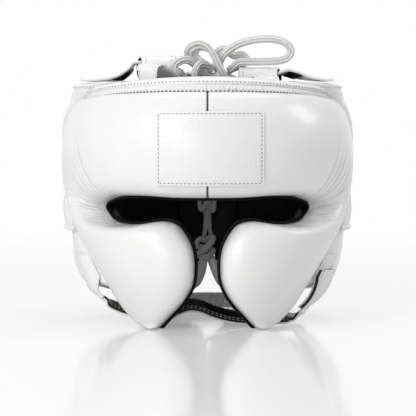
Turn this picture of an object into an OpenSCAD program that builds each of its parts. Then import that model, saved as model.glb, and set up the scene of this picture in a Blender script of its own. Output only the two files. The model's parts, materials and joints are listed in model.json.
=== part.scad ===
// Lace-up boxing headguard with padded forehead and cheeks.
// X runs to the right as seen from the front, the face looks along -Y and Z is up.
// The cheek tips and the neck pads stand on z = 0. Angles run round the head from the front.

/* [Head shape] */
// Width across the ear pads
guard_w = 239; // [228:1:250]
// Reach of the forehead in front of the ear line
front_reach = 127; // [120:1:134]
// Reach of the neck pads behind the ear line
back_reach = 122; // [114:1:130]
// Height of the top band above the cheek tips
shell_h = 193; // [186:1:200]

/* [Padding] */
// Thickness of the forehead and cheek pads
front_pad_t = 35; // [30:1:38]
// Thickness of the ear pads
ear_pad_t = 35; // [30:1:38]
// Thickness of the neck pads
back_pad_t = 24; // [20:1:28]
// Thickness of the pad at the cheek tip
tip_t = 12; // [9:1:15]
// How far the lining stands off the jaw at the cheek tip
tip_lift = 18; // [14:1:21]
// Thickness of the cover leather
leather_t = 1.5; // [1.2:0.1:1.8]
// Thickness of the lining
lining_t = 1.2; // [0.8:0.1:1.5]
// Clearance between two layers
layer_gap = 0.25; // [0.2:0.05:0.35]
// Clearance between two pads at a seam
seam_gap = 0.6; // [0.4:0.1:1]
// Height of a pad's side wall
wall_h = 3; // [2:0.5:4]

/* [Face opening] */
// Distance from an end of the eye slot to the side of the guard
eye_side = 44; // [42:0.5:46]
// Height of the ends of the eye slot
eye_z = 91.5; // [89:0.5:94]
// Height of the brow edge
brow_z = 101; // [99:0.5:104]
// Height of the lowest point of the eye slot
eye_floor_z = 79.5; // [78:0.5:81]
// Narrowest gap between the cheeks
cheek_gap = 18; // [14:1:24]
// Height of that gap
cheek_gap_z = 50; // [46:1:54]
// Distance between the cheek tips
tip_spread = 87; // [80:1:94]
// Thickness of the binding round the face opening
binding_t = 1.6; // [1.2:0.1:2]
// Depth of the binding round the face opening
binding_d = 8; // [6:0.5:10]

/* [Top band] */
// Height of the top band
band_h = 12; // [9:0.5:14]
// Angle that the top band reaches on each side
band_reach = 64; // [58:1:66]

/* [Patch] */
// Width of the bare patch
patch_w = 80; // [70:1:86]
// Height of the bare patch
patch_h = 56; // [48:1:60]
// Height of the middle of the patch
patch_z = 138.5; // [134:0.5:142]
// How far the patch sits to the right of the seam
patch_x = 2; // [0:0.5:3]
// Thickness of the patch
patch_t = 1.4; // [1:0.1:1.8]

/* [Ear pads] */
// Angle of the seam between ear pad and neck pad
ear_seam = 126; // [122:1:130]
// Height of the lowest edge of the ear pad
ear_low_z = 22; // [20:1:28]
// Height of the top edge of the ear and neck pads
pad_top_z = 190; // [184:1:192]
// Radius of the ear hole
ear_hole_r = 13; // [10:0.5:15]
// Distance of the ear hole behind the ear line
ear_hole_y = 16; // [12:1:20]
// Height of the ear hole
ear_hole_z = 100; // [94:1:106]
// Width of the strip down the ear pad
tab_w = 22; // [16:1:26]
// Thickness of the strip down the ear pad
tab_t = 2.4; // [1.8:0.2:3]

/* [Neck] */
// Half the gap between the two neck pads
neck_gap = 7; // [5:0.5:10]
// Width of the tongue behind the gap
tongue_w = 52; // [44:1:60]
// Thickness of the tongue
tongue_t = 2.4; // [1.8:0.2:3]
// Width of the neck band that lies across the gap
neck_band_h = 13; // [10:1:16]
// Thickness of the neck band
neck_band_t = 5; // [4:0.5:6]
// Width of a neck tab
neck_tab_w = 11; // [8:1:13]
// Thickness of a neck tab
neck_tab_t = 2.6; // [2:0.2:3.2]

/* [Crown] */
// Width of a side crown strap where it leaves the ear pad
crown_w = 34; // [28:1:40]
// Thickness of a crown strap
crown_t = 2.8; // [2.2:0.2:3.4]
// Outer radius of a lace sleeve
sleeve_r = 10; // [9:0.5:11]
// Length of a lace sleeve
sleeve_len = 27; // [22:1:32]
// Distance of a lace sleeve's inner end from the middle
sleeve_x = 25; // [22:1:30]
// Height of the axis of the left lace sleeve
sleeve_left_z = 201; // [198:0.5:203]
// Height of the axis of the right lace sleeve
sleeve_right_z = 192; // [190:0.5:195]
// Distance of the lace sleeves in front of the ear line
sleeve_y = 24; // [20:1:30]
// Width of the rear crown strap
rear_w = 42; // [34:1:48]

/* [Lace] */
// Thickness of the braided lace
lace_d = 6.4; // [5:0.2:7]
// Thickness of the lace at the neck
neck_lace_d = 5; // [4:0.2:6]

/* [Chin strap] */
// Width of the chin strap
strap_w = 34; // [28:1:38]
// Thickness of the chin strap's leather
strap_leather_t = 1.4; // [1:0.1:1.8]
// Thickness of the chin strap's lining
strap_lining_t = 1.2; // [0.8:0.1:1.5]
// Thickness of the hook tape and of the loop tape
tape_t = 0.9; // [0.6:0.1:1.2]
// Clearance where a strap turns or closes
strap_gap = 0.3; // [0.3:0.05:0.5]
// Radius of the fold at the chin strap's sewn end
fold_r = 1.6; // [1.3:0.1:2]

/* [Hidden] */

white_leather = "whitesmoke";
black_lining = "dimgray";
foam_grey = "silver";

// The outer form at each eighth of the height: shares of the width, the front reach and the back reach.
FORM = [
    [0.78, 0.88, 0.90], [0.83, 0.94, 0.935], [0.885, 0.985, 0.965], [0.935, 1.00, 0.985], [0.98, 0.995, 1.00],
    [1.00, 1.00, 1.00], [0.995, 1.00, 0.985], [0.945, 0.97, 0.93], [0.84, 0.89, 0.83], [0.66, 0.72, 0.62]
];
FORM_STEPS = 8;

// A smooth curve through equally spaced values, numbers or points, at position s.
function blend4(a, b, c, d, t) =
    0.5 * (2 * b + (c - a) * t + (2 * a - 5 * b + 4 * c - d) * t * t + (3 * b - a - 3 * c + d) * t * t * t);
function along(list, s) =
    let (last = len(list) - 1, i = min(last - 1, max(0, floor(s))))
    blend4(
        i > 0 ? list[i - 1] : 2 * list[0] - list[1], list[i], list[i + 1],
        i + 2 <= last ? list[i + 2] : 2 * list[last] - list[last - 1], s - i
    );
function steps(from, to, n) = [for (i = [0 : n]) from + (to - from) * i / n];

// A point round the head: angle from the front, height, and distance out from the inside of the padding.
function form_at(z) = along(FORM, FORM_STEPS * z / shell_h);
function half_w(z) = form_at(z)[0] * guard_w / 2;
function head_pt(a, z, d) =
    let (
        f = form_at(z),
        w = f[0] * guard_w / 2 - ear_pad_t + d,
        reach = abs(a) <= 90 ? f[1] * front_reach - front_pad_t + d : f[2] * back_reach - back_pad_t + d
    )
    [w * sin(a), -reach * cos(a), z];

// Lines of the right front pad from the forehead seam round the temple to the cheek tip, as [angle, height].
eye_w = guard_w - 2 * eye_side;
eye_a = asin(eye_w / 2 / (half_w(eye_z) - ear_pad_t + wall_h));
gap_a = asin(cheek_gap / 2 / (half_w(cheek_gap_z) - ear_pad_t + wall_h));
tip_a = asin(tip_spread / 2 / (half_w(0) - ear_pad_t + tip_lift + tip_t));
band_low_z = shell_h - band_h;
cheek_drop = eye_floor_z - cheek_gap_z;
FACE_LINE = [
    [0, brow_z], [0.23 * eye_a, brow_z], [0.43 * eye_a, brow_z + 1], [0.6 * eye_a, brow_z + 1],
    [0.74 * eye_a, brow_z + 0.2], [0.86 * eye_a, brow_z - 2.5], [0.95 * eye_a, eye_z + 4.5], [eye_a, eye_z + 0.8],
    [0.99 * eye_a, eye_z - 2.5], [0.96 * eye_a, eye_z - 5], [0.9 * eye_a, eye_floor_z + 2.7],
    [0.8 * eye_a, eye_floor_z + 0.6], [0.66 * eye_a, eye_floor_z], [0.5 * eye_a, eye_floor_z + 1.3],
    [0.37 * eye_a, eye_floor_z + 3.3], [0.26 * eye_a, eye_floor_z + 1.5],
    [1.75 * gap_a, eye_floor_z - 0.16 * cheek_drop], [1.18 * gap_a, eye_floor_z - 0.55 * cheek_drop],
    [gap_a, cheek_gap_z], [1.2 * gap_a, 0.7 * cheek_gap_z], [0.47 * tip_a, 0.43 * cheek_gap_z],
    [0.73 * tip_a, 0.2 * cheek_gap_z], [0.93 * tip_a, 0.02 * cheek_gap_z]
];
BACK_LINE = [
    [0, band_low_z], [15, band_low_z], [31, band_low_z - 0.5], [47, band_low_z - 1.2],
    [61, band_low_z - 3], [75, band_low_z - 7], [88, 158], [95.5, 133],
    [93, 114], [86.5, 99], [82, 87],
    [79, 76], [76, 66], [72.5, 57],
    [69, 48], [64.5, 39.5],
    [60, 31], [55.5, 23],
    [51.5, 16], [47.5, 10.5], [43.5, 6.5],
    [39.5, 3.5], [1.12 * tip_a, 1]
];
LINE_END = len(FACE_LINE) - 1;
PAD_T = [34, 34.5, 35, 35, 35, 35, 34, 33, 33, 33, 34, 35, 35, 35, 35, 35, 35, 35, 34.5, 33, 31, 28, 12] / 35;
TIP_START = 15;
function tip_share(k) = pow(max(0, k - TIP_START) / (LINE_END - TIP_START), 1.6);
function front_t(k) = front_pad_t * min(1, along(PAD_T, k)) * (1 - tip_share(k)) + tip_t * tip_share(k);
function front_lift(k) = tip_lift * tip_share(k);
function line_span(p, q, r) = norm([(q[0] - p[0]) * r * PI / 180, q[1] - p[1]]);

// One cross-section of a pad from line p to line q, with a side wall at each end and a crown between.
// inset is how far it lies inside the pad's outer face.
base_d = lining_t + layer_gap;
function pad_row(p, q, t, lift, inset, n, wall_p, wall_q) =
    let (
        foot = base_d + (inset > leather_t ? 1 : 0), tuck = inset > leather_t ? 0.006 : 0,
        r = half_w(p[1]) - ear_pad_t + t, cut = inset / max(line_span(p, q, r), 5 * leather_t), top = t - inset,
        ends = [
            let (a = p + (q - p) * (cut + tuck)) head_pt(a[0], a[1], lift + foot),
            let (a = p + (q - p) * (1 - cut - tuck)) head_pt(a[0], a[1], lift + foot)
        ],
        crown = [for (w = steps(0, 180, n))
            let (
                v = 0.5 - (0.5 - cut) * cos(w), side = base_d + min(top - base_d - 0.5, wall_p * (1 - v) + wall_q * v),
                a = p + (q - p) * v
            )
            head_pt(a[0], a[1], lift + side + (top - side) * pow(max(0, sin(w)), 0.6))]
    )
    [for (pt = concat([ends[0]], crown, [ends[1]])) [pt[0], pt[1], max(pt[2], inset)]];
function flat_row(p, q, t, lift, d, inset, n) =
    let (r = half_w(p[1]) - ear_pad_t + t, cut = inset / max(line_span(p, q, r), 5 * leather_t),
        w = concat([0], steps(0, 180, n), [180]))
    [for (i = [0 : len(w) - 1])
        let (
            v = 0.5 - (0.5 - cut) * cos(w[i]), a = p + (q - p) * v, nudge = i == 1 ? 0.02 : i == len(w) - 2 ? -0.02 : 0,
            b = a + (q - p) * nudge, pt = head_pt(b[0], b[1], lift + d)
        )
        [pt[0], pt[1], max(pt[2], inset)]];

// A closed solid between two grids of points that have the same rows and columns.
module grid_solid(out, in) {
    rows = len(out);
    cols = len(out[0]);
    size = rows * cols;
    faces = [
        for (i = [0 : rows - 2], j = [0 : cols - 2])
            let (a = i * cols + j, b = a + cols)
            each [[a, a + 1, b + 1], [a, b + 1, b], [a + size, b + 1 + size, a + 1 + size], [a + size, b + size, b + 1 + size]],
        for (i = [0 : rows - 2])
            let (a = i * cols, b = a + cols, c = a + cols - 1, d = b + cols - 1)
            each [[a, b, b + size], [a, b + size, a + size], [c, d + size, d], [c, c + size, d + size]],
        for (j = [0 : cols - 2])
            let (a = j, b = j + 1, c = size - cols + j, d = c + 1)
            each [[a, a + size, b + size], [a, b + size, b], [c, d + size, c + size], [c, d, d + size]]
    ];
    polyhedron(points = [for (row = out) each row, for (row = in) each row], faces = faces, convexity = 8);
}

// A closed solid through a list of rings that have the same number of points.
module ring_solid(rings) {
    n = len(rings[0]);
    last = (len(rings) - 1) * n;
    faces = [
        for (i = [0 : len(rings) - 2], j = [0 : n - 1])
            let (a = i * n + j, b = i * n + (j + 1) % n)
            each [[a, b, b + n], [a, b + n, a + n]],
        for (j = [1 : n - 2]) each [[0, j + 1, j], [last, last + j, last + j + 1]]
    ];
    polyhedron(points = [for (ring = rings) each ring], faces = faces, convexity = 8);
}

// A flat strip along points, each with the direction of its width: thick from face d0 to face d1.
function unit(v) = v / max(norm(v), 0.0001);
function way(path, i) = unit(path[min(len(path) - 1, i + 1)] - path[max(0, i - 1)]);
function strip_rings(path, sides, w, d0, d1) =
    [for (i = [0 : len(path) - 1])
        let (
            half = (is_list(w) ? w[i] : w) / 2,
            side = unit(sides[i] - way(path, i) * (sides[i] * way(path, i))),
            up = cross(side, way(path, i))
        )
        [
            path[i] + side * half + up * d0, path[i] + side * half + up * d1,
            path[i] - side * half + up * d1, path[i] - side * half + up * d0
        ]];

function strip_grid(path, sides, w, d) =
    [for (i = [0 : len(path) - 1])
        let (side = unit(sides[i] - way(path, i) * (sides[i] * way(path, i))), up = cross(side, way(path, i)))
        [for (x = steps(w / 2, -w / 2, 2)) path[i] + side * x + up * d]];

// The frame's origin is under the middle of the guard.
centre_shift = 6.25;
module placed() {
    translate([0, centre_shift, 0]) children();
}
module both_ways(right) {
    if (right) children();
    else mirror([1, 0, 0]) children();
}

// Front pads: leather cover, foam and lining of one half.
FRONT_KS = [
    0, 1.3, 2.6, 3.6, 4.4, 5.2, 6, 6.7, 7.4, 8, 8.7, 9.4, 10.1, 11, 12, 13, 14, 15, 16, 17, 18, 19, 20, 21, 21.7, 22
];
FOREHEAD_COLS = 9;
CROWN_STEPS = 7;
front_wall = 5;
band_wall = 20;
OUTER_WALL = [[0, band_wall], [3, band_wall], [5, 27], [5.5, 29], [6.5, 29], [8, 16], [9, 12], [18, 12], [22, 6]];
function outer_wall(k) = lookup(k, OUTER_WALL);
function front_pad(cols, inset, extra) =
    [for (i = cols)
        let (k = FRONT_KS[i])
        pad_row(
            along(FACE_LINE, k), along(BACK_LINE, k), front_t(k), front_lift(k), inset, CROWN_STEPS,
            front_wall - extra, outer_wall(k) - extra
        )];
function front_flat(cols, d, inset, n) =
    [for (i = cols)
        let (k = FRONT_KS[i])
        flat_row(along(FACE_LINE, k), along(BACK_LINE, k), front_t(k), front_lift(k), d, inset, n)];
function off_seam(rows) = [for (row = rows) [for (p = row) [max(p[0], seam_gap / 4), p[1], p[2]]]];
function other_side(rows) = [for (i = [len(rows) - 1 : -1 : 1]) [for (p = rows[i]) [-p[0], p[1], p[2]]]];
front_cols = [0 : len(FRONT_KS) - 1];
foam_inset = leather_t + layer_gap + 0.75;
foam_d = base_d + 0.2;

module front_cover() {
    color(white_leather) grid_solid(off_seam(front_pad(front_cols, 0, 0)), off_seam(front_pad(front_cols, leather_t, 1)));
}

module front_lining() {
    color(black_lining)
        grid_solid(off_seam(front_flat(front_cols, lining_t, 0, 3)), off_seam(front_flat(front_cols, 0, 0, 3)));
}

module forehead_foam() {
    cols = [0 : FOREHEAD_COLS];
    up = front_pad(cols, foam_inset + 0.25, 2.2);
    low = front_flat(cols, foam_d, foam_inset + 0.25, CROWN_STEPS);
    color(foam_grey) grid_solid(concat(other_side(up), up), concat(other_side(low), low));
}

// The cheek foam starts where the forehead foam ends, less a seam's clearance.
function nearer(a, b, gap) =
    [for (i = [0 : len(a) - 1]) a[i] + unit(b[i] - a[i]) * min(gap, norm(b[i] - a[i]) / 3)];
function trim_ends(rows, gap) =
    let (n = len(rows))
    [for (i = [0 : n - 1])
        i == 0 ? nearer(rows[0], rows[1], gap) : i == n - 1 ? nearer(rows[i], rows[i - 1], gap) : rows[i]];
module cheek_foam() {
    cols = [FOREHEAD_COLS : len(FRONT_KS) - 1];
    up = front_pad(cols, foam_inset, 1.5);
    low = front_flat(cols, foam_d, foam_inset, CROWN_STEPS);
    color(foam_grey) grid_solid(trim_ends(up, leather_t), trim_ends(low, leather_t));
}

// Binding: one leather tape sewn round the edge of the face opening, from tip to tip.
function line_normal(line, k) =
    let (
        p = along(line, max(0, k - 0.1)), q = along(line, min(len(line) - 1, k + 0.1)), r = half_w(p[1]) - ear_pad_t,
        t = unit([(q[0] - p[0]) * r * PI / 180, q[1] - p[1]])
    )
    [t[1], -t[0]];
function beside(line, k, out, d) =
    let (
        p = along(line, k), n = line_normal(line, k), r = half_w(p[1]) - ear_pad_t + d,
        pt = head_pt(p[0] + n[0] * out / r * 180 / PI, p[1] + n[1] * out, d)
    )
    [pt[0], pt[1], max(pt[2], 0.6)];
function binding_ring(k) =
    let (near = layer_gap + 0.2, low = front_lift(k) + 0.1, high = front_lift(k) + binding_d)
    [
        beside(FACE_LINE, k, near + binding_t, low), beside(FACE_LINE, k, near + binding_t, high),
        beside(FACE_LINE, k, near, high), beside(FACE_LINE, k, near, low)
    ];
module face_binding() {
    right = [for (k = FRONT_KS) if (k < LINE_END) binding_ring(k)];
    left = [for (i = [len(right) - 1 : -1 : 1]) [for (p = right[i]) [-p[0], p[1], p[2]]]];
    color(black_lining) ring_solid(concat(left, right));
}

// Top band: a folded leather band over the top edge of the forehead pad.
function band_under(a) =
    lookup(abs(a), [for (p = [0 : 6]) BACK_LINE[p]]) + seam_gap + 0.4 + 0.08 * max(0, abs(a) - 58);
function band_over(a) = shell_h - 4.5 * pow(abs(a) / 56, 2);
band_spread = 0.26;
function band_out(a) = base_d - 1 + lookup(abs(a), [[47, band_wall], [75, 27], [81.5, 29]]);
function band_ring(a) =
    let (foot = a * (1 + band_spread), low = band_under(foot), high = max(low + 3.5, band_over(a)), h = high - low, d = band_out(foot))
    [for (c = [[0, d], [0.55, d - 0.5], [0.86, d - 3], [1, d - 8], [1, 9], [0.8, 3], [0.45, 0.4], [0, 0.2]])
        head_pt(a * (1 + band_spread * (1 - c[0])), low + c[0] * h, c[1])];
module top_band() {
    color(white_leather) ring_solid([for (a = steps(-band_reach, band_reach, 22)) band_ring(a)]);
}

// Patch: a bare raised piece of leather sewn to the forehead over the seam.
function brow_d(z) =
    let (v = (z - brow_z) / (band_low_z - brow_z), s = 2 * sqrt(max(0, v * (1 - v))), t = front_t(0),
        side = base_d + front_wall * (1 - v) + band_wall * v)
    side + (t - side) * pow(s, 0.6);
function patch_rows(d) =
    [for (x = steps(patch_x - patch_w / 2, patch_x + patch_w / 2, 12))
        [for (z = steps(patch_z - patch_h / 2, patch_z + patch_h / 2, 6))
            head_pt(asin(x / (half_w(z) - ear_pad_t + brow_d(z))), z, brow_d(z) + seam_gap + d)]];
module forehead_patch() {
    color(white_leather) grid_solid(patch_rows(patch_t), patch_rows(layer_gap));
}

// Ear pads fill the space behind the front pad, neck pads go on from there to the gap at the back.
EAR_FIRST = 4;
EAR_KS = [
    4, 4.04, 4.2, 4.5, 4.8, 5.2, 6, 6.7, 7.4, 8, 8.7, 9.4, 10.1, 11, 12, 13, 14, 15, 15.6, 15.88, 16
];
EAR_LAST = 16;
EAR_T = [
    [4, 9], [4.04, 33], [4.2, 40], [4.5, 38.5], [4.8, 36.5], [5.2, 38.5], [6, 40.5], [6.7, 41.5], [7.4, 40.5],
    [8, 38], [8.7, 36], [12, 36],
    [14, 37.5], [15, 36.2], [15.6, 32.5], [15.88, 26.5], [16, 9]
];
function behind(line, k, gap) =
    let (p = along(line, k), n = line_normal(line, k), r = half_w(p[1]))
    [p[0] - n[0] * gap / r * 180 / PI, p[1] - n[1] * gap];
function mix2(a, b, t) = a + (b - a) * t;
ear_top = [band_reach + 2.5, pad_top_z];
ear_notch = [1.22 * band_reach, pad_top_z - 15];
function ear_front(k) =
    k < 5 ? mix2(ear_top, ear_notch, k - EAR_FIRST)
    : k < 6 ? mix2(ear_notch, behind(BACK_LINE, 6, seam_gap), k - 5)
    : behind(BACK_LINE, k, seam_gap) - [0, 1.2 * max(0, k - 13)];
EAR_LINE = [
    [ear_seam - 7, pad_top_z], [ear_seam - 3, 171], [ear_seam - 1, 154], [ear_seam, 136], [ear_seam, 119],
    [ear_seam, 105], [ear_seam, 92], [ear_seam, 80], [ear_seam, 68], [ear_seam - 1, 57], [ear_seam - 2, 46],
    [ear_seam - 4, 35], [ear_seam - 6, ear_low_z]
];
neck_a = 180 - asin(neck_gap / (half_w(100) - ear_pad_t + back_pad_t));
NECK_LINE = [
    [neck_a, pad_top_z - 14], [neck_a, 161], [neck_a, 147], [neck_a, 132], [neck_a, 117], [neck_a, 103],
    [neck_a, 90], [neck_a, 77], [neck_a, 64], [neck_a - 0.5, 50], [neck_a - 3, 34], [neck_a - 8, 17],
    [neck_a - 18, -1]
];
function end_roll(k) = let (s = (k - EAR_FIRST) / (EAR_LAST - EAR_FIRST)) pow(max(0, 4 * s * (1 - s)), 0.3);
function ear_t(k) = ear_pad_t / 35 * lookup(k, EAR_T);
function neck_t(k) = 8 + (back_pad_t - 8) * end_roll(k);
ear_wall = 5;
function held_in(k, e) =
    let (ease = 0.02) max(EAR_FIRST + e + ease * (k - EAR_FIRST), min(EAR_LAST - 1.8 * e - ease * (EAR_LAST - k), k));
function ear_rows(inset, extra, e) =
    [for (k = EAR_KS)
        let (c = held_in(k, e))
        pad_row(ear_front(c), along(EAR_LINE, c - EAR_FIRST), ear_t(k), 0, inset, 6, ear_wall - extra, ear_wall - extra)];
function ear_flat(d, inset, n, e) =
    [for (k = EAR_KS)
        let (c = held_in(k, e)) flat_row(ear_front(c), along(EAR_LINE, c - EAR_FIRST), ear_t(k), 0, d, inset, n)];
function neck_from(k) = along(EAR_LINE, k - EAR_FIRST) + [seam_gap / 110 * 180 / PI, 0];
NECK_KS = [4, 4.15, 4.5, 5, 6, 7, 8, 9, 10, 11, 12, 13, 14, 14.9, 15.5, 15.85, 16];
neck_wall = 4;
function neck_rows(inset, extra, e) =
    [for (k = NECK_KS)
        let (c = held_in(k, e))
        pad_row(neck_from(c), along(NECK_LINE, c - EAR_FIRST), neck_t(k), 0, inset, 6, neck_wall - extra, neck_wall - extra)];
function neck_flat(d, inset, n, e) =
    [for (k = NECK_KS)
        let (c = held_in(k, e)) flat_row(neck_from(c), along(NECK_LINE, c - EAR_FIRST), neck_t(k), 0, d, inset, n)];
cover_e = leather_t / 19;
foam_e = 1.3 * cover_e;

module ear_hole(r) {
    translate([half_w(ear_hole_z) - 1.6 * ear_pad_t, ear_hole_y, ear_hole_z]) rotate([0, 90, 0])
        cylinder(h = 3 * ear_pad_t, r = r, $fn = 32);
}
module ear_cover() {
    color(white_leather) difference() {
        grid_solid(ear_rows(0, 0, 0), ear_rows(leather_t, 1, cover_e));
        ear_hole(ear_hole_r);
    }
}
module ear_foam() {
    color(foam_grey) difference() {
        grid_solid(ear_rows(foam_inset, 1.5, foam_e), ear_flat(foam_d, foam_inset, 6, foam_e));
        ear_hole(ear_hole_r + leather_t);
    }
}
function lining_rows(rows) = [for (i = [0 : len(rows) - 1]) if (i != 1 && i != 2 && i != 3) rows[i]];
module ear_lining() {
    color(black_lining) difference() {
        grid_solid(lining_rows(ear_flat(lining_t, 0, 3, 0)), lining_rows(ear_flat(0, 0, 3, 0)));
        ear_hole(ear_hole_r);
    }
}
module neck_cover() {
    color(white_leather) grid_solid(neck_rows(0, 0, 0), neck_rows(leather_t, 1, cover_e));
}
module neck_foam() {
    color(foam_grey)
        grid_solid(neck_rows(foam_inset, 1.5, foam_e), neck_flat(foam_d, foam_inset, 6, foam_e));
}
module neck_lining() {
    color(black_lining) grid_solid(neck_flat(lining_t, 0, 4, 0), neck_flat(0, 0, 4, 0));
}

// A point on the outside of the ear pad, off it by a distance.
function ear_surf(k, v, off) =
    let (
        a = mix2(ear_front(k), along(EAR_LINE, k - EAR_FIRST), v), side = base_d + ear_wall,
        d = side + (ear_t(k) - side) * pow(2 * sqrt(v * (1 - v)), 0.6)
    )
    head_pt(a[0], a[1], d + off);

// Strip: a leather strip sewn down the outside of the ear pad, with its lower end rolled.
STRIP = [[8.95, 0.045], [9.4, 0.07], [9.8, 0.11], [10.3, 0.15], [10.8, 0.175], [11.3, 0.19]];
strip_dv = tab_w / 206;
strip_off = 1.35;
function strip_row(i, off) =
    let (s = STRIP[i], v0 = max(0.015, s[1] - strip_dv))
    [for (v = steps(v0, s[1] + strip_dv, 4)) ear_surf(s[0], v, off)];
function strip_rows(off) = [for (i = [0 : len(STRIP) - 1]) strip_row(i, off)];
module ear_strip() {
    roll = strip_row(len(STRIP) - 1, strip_off + 0.95 * tab_t);
    color(white_leather) union() {
        grid_solid(strip_rows(strip_off + tab_t), strip_rows(strip_off));
        tube(roll, 1.7 * tab_t, 1.7 * tab_t);
    }
}

// Tongue: a lined strip inside the gap between the two neck pads.
inside_d = -layer_gap - 0.65;
tongue_d = inside_d - 0.5;
tongue_a = asin(tongue_w / 2 / (half_w(100) - ear_pad_t));
function tongue_rows(d) =
    [for (z = steps(pad_top_z - 24, 48, 8)) [for (a = steps(180 + tongue_a, 180 - tongue_a, 6)) head_pt(a, z, d)]];
module neck_tongue() {
    color(black_lining) grid_solid(tongue_rows(tongue_d - tongue_t), tongue_rows(tongue_d));
}

// Neck band: a soft folded band inside the lower ends of the two neck pads.
BAND_A = [157, 162, 167, 172, 177, 182, 187, 192, 197, 203];
BAND_D = [0.4, 1.6, 0.5, 2, 0.6, 1.7, 0.3, 2.1, 0.6, 0.4];
module neck_band() {
    deep = inside_d - neck_band_t / 2 - 0.4;
    path = [for (i = [0 : len(BAND_A) - 1]) head_pt(BAND_A[i], neck_band_h / 2, deep - BAND_D[i])];
    sides = [for (p = path) [0, 0, 1]];
    color(white_leather) ring_solid(strip_rings(path, sides, neck_band_h, -neck_band_t / 2, neck_band_t / 2));
}

// Neck tab: a leather tab from the neck pad's lower corner up to the lace.
NECK_TAB = [[2.9, 44.3], [3.6, 40], [5, 34], [7.4, 28], [11, 22.5], [16, 18.5]];
module neck_tab() {
    deep = inside_d - neck_tab_t / 2 - 0.7;
    path = [for (p = NECK_TAB) head_pt(180 - asin(p[0] / (half_w(p[1]) - ear_pad_t)), p[1], deep)];
    widths = [0.42, 0.55, 0.8, 0.95, 1, 0.9] * neck_tab_w;
    sides = [for (p = path) [1, 0, 0.3]];
    color(white_leather) ring_solid(strip_rings(path, sides, widths, -neck_tab_t / 2, neck_tab_t / 2));
}

// Crown: straps from the ear pads and tabs from the top band carry the two lace sleeves.
sleeve_wall = 1.8;
module lace_sleeve(z) {
    color(white_leather) translate([sleeve_x, -sleeve_y, z]) rotate([0, 90, 0]) difference() {
        cylinder(h = sleeve_len, r = sleeve_r, $fn = 32);
        translate([0, 0, -1]) cylinder(h = sleeve_len + 2, r = sleeve_r - sleeve_wall, $fn = 32);
    }
}
module crown_strap(z) {
    top_z = pad_top_z + 2.1;
    end_x = sleeve_x + sleeve_len;
    out = half_w(185) - 8;
    // Share of the way in, share of the way up, arch in mm, lean of the width, share of the width.
    stations = [
        [0, 0, 0, 0, 1], [0.14, 0, 0.4, -0.03, 1], [0.3, 0.02, 1.3, -0.12, 0.95], [0.46, 0.05, 2.6, -0.22, 0.88],
        [0.62, 0.14, 3.4, -0.26, 0.78], [0.78, 0.6, 2, -0.2, 0.58], [0.9, 1, 0, -0.08, 0.37], [1, 1, 0, 0, 0.34],
        [1.12, 0.93, 0, 0, 0.32]
    ];
    path = [for (p = stations)
        [out + (end_x + 1 - out) * p[0], -sleeve_y + (1 - min(1, p[0])) * 9, top_z + (z + 3.9 - top_z) * p[1] + p[2]]];
    leans = [for (p = stations) [0, 1, p[3]]];
    color(white_leather)
        ring_solid(strip_rings(path, leans, [for (p = stations) p[4] * crown_w], -crown_t / 2, crown_t / 2));
}
module crown_tab(z) {
    deep = -layer_gap - crown_t / 2 - 1.6;
    last = -sleeve_y - sleeve_r - 0.8;
    path = concat(
        [for (h = [173, 181, 188]) head_pt(46, h, deep)],
        [[46.5, -57, z - 2.5], [45.5, -53, z + 0.5], [44.5, -45, z + 2], [44, last, z + 2]]
    );
    sides = [[0.66, 0.75, 0], [0.66, 0.75, 0], [0.66, 0.75, 0], [0.8, 0.6, 0], [0.9, 0.4, 0], [1, 0.1, 0], [1, 0, 0]];
    color(white_leather) ring_solid(strip_rings(path, sides, 19, -crown_t / 2, crown_t / 2));
}
REAR = [[168, 0.0085], [176, 0.0085], [184, 0.0085], [190, 0.006], [194.3, 0.004], [196.5, 0.002], [197.5, 0], [197.5, 0], [196, 0]];
REAR_Y = [0, 0, 0, 74.5, 62, 46, 30, 14, 0];
rear_widths = [1.2, 1.15, 1.05, 1, 0.95, 0.9, 0.85, 0.75, 0.62] * rear_w;
function rear_row(i, off) =
    let (
        z = REAR[i][0], y = i < 3 ? head_pt(180, z, inside_d - crown_t - 0.5)[1] : REAR_Y[i] * back_reach / 122,
        lean = [[1, 0], [1, 0.1], [0.95, 0.3], [0.7, 0.7], [0.35, 0.93], [0.1, 1], [0, 1], [0, 1], [0, 1]][i]
    )
    [for (x = steps(-rear_widths[i] / 2, rear_widths[i] / 2, 4)) [x, y - REAR[i][1] * x * x + lean[0] * off, z + lean[1] * off]];
module rear_crown_strap() {
    rows = [0 : len(REAR) - 1];
    color(white_leather) grid_solid([for (i = rows) rear_row(i, crown_t)], [for (i = rows) rear_row(i, 0)]);
}

// A cord: one tube through its route's points, with the same frame carried along.
function cord_frames(path) =
    [for (
        i = 0, n = unit(cross(way(path, 0), [0.3, 0.9, 0.2]));
        i < len(path);
        i = i + 1, n = i < len(path) ? unit(n - way(path, i) * (n * way(path, i))) : n
    ) n];
module tube(path, w, h, sides = 8) {
    frames = cord_frames(path);
    ring_solid([for (i = [0 : len(path) - 1])
        let (t = way(path, i), n = frames[i], b = cross(t, n))
        [for (j = [0 : sides - 1]) path[i] + n * cos(-360 * j / sides) * w / 2 + b * sin(-360 * j / sides) * h / 2]]);
}
module cord(path, w, h) { color("white") tube(path, w, h); }

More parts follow.
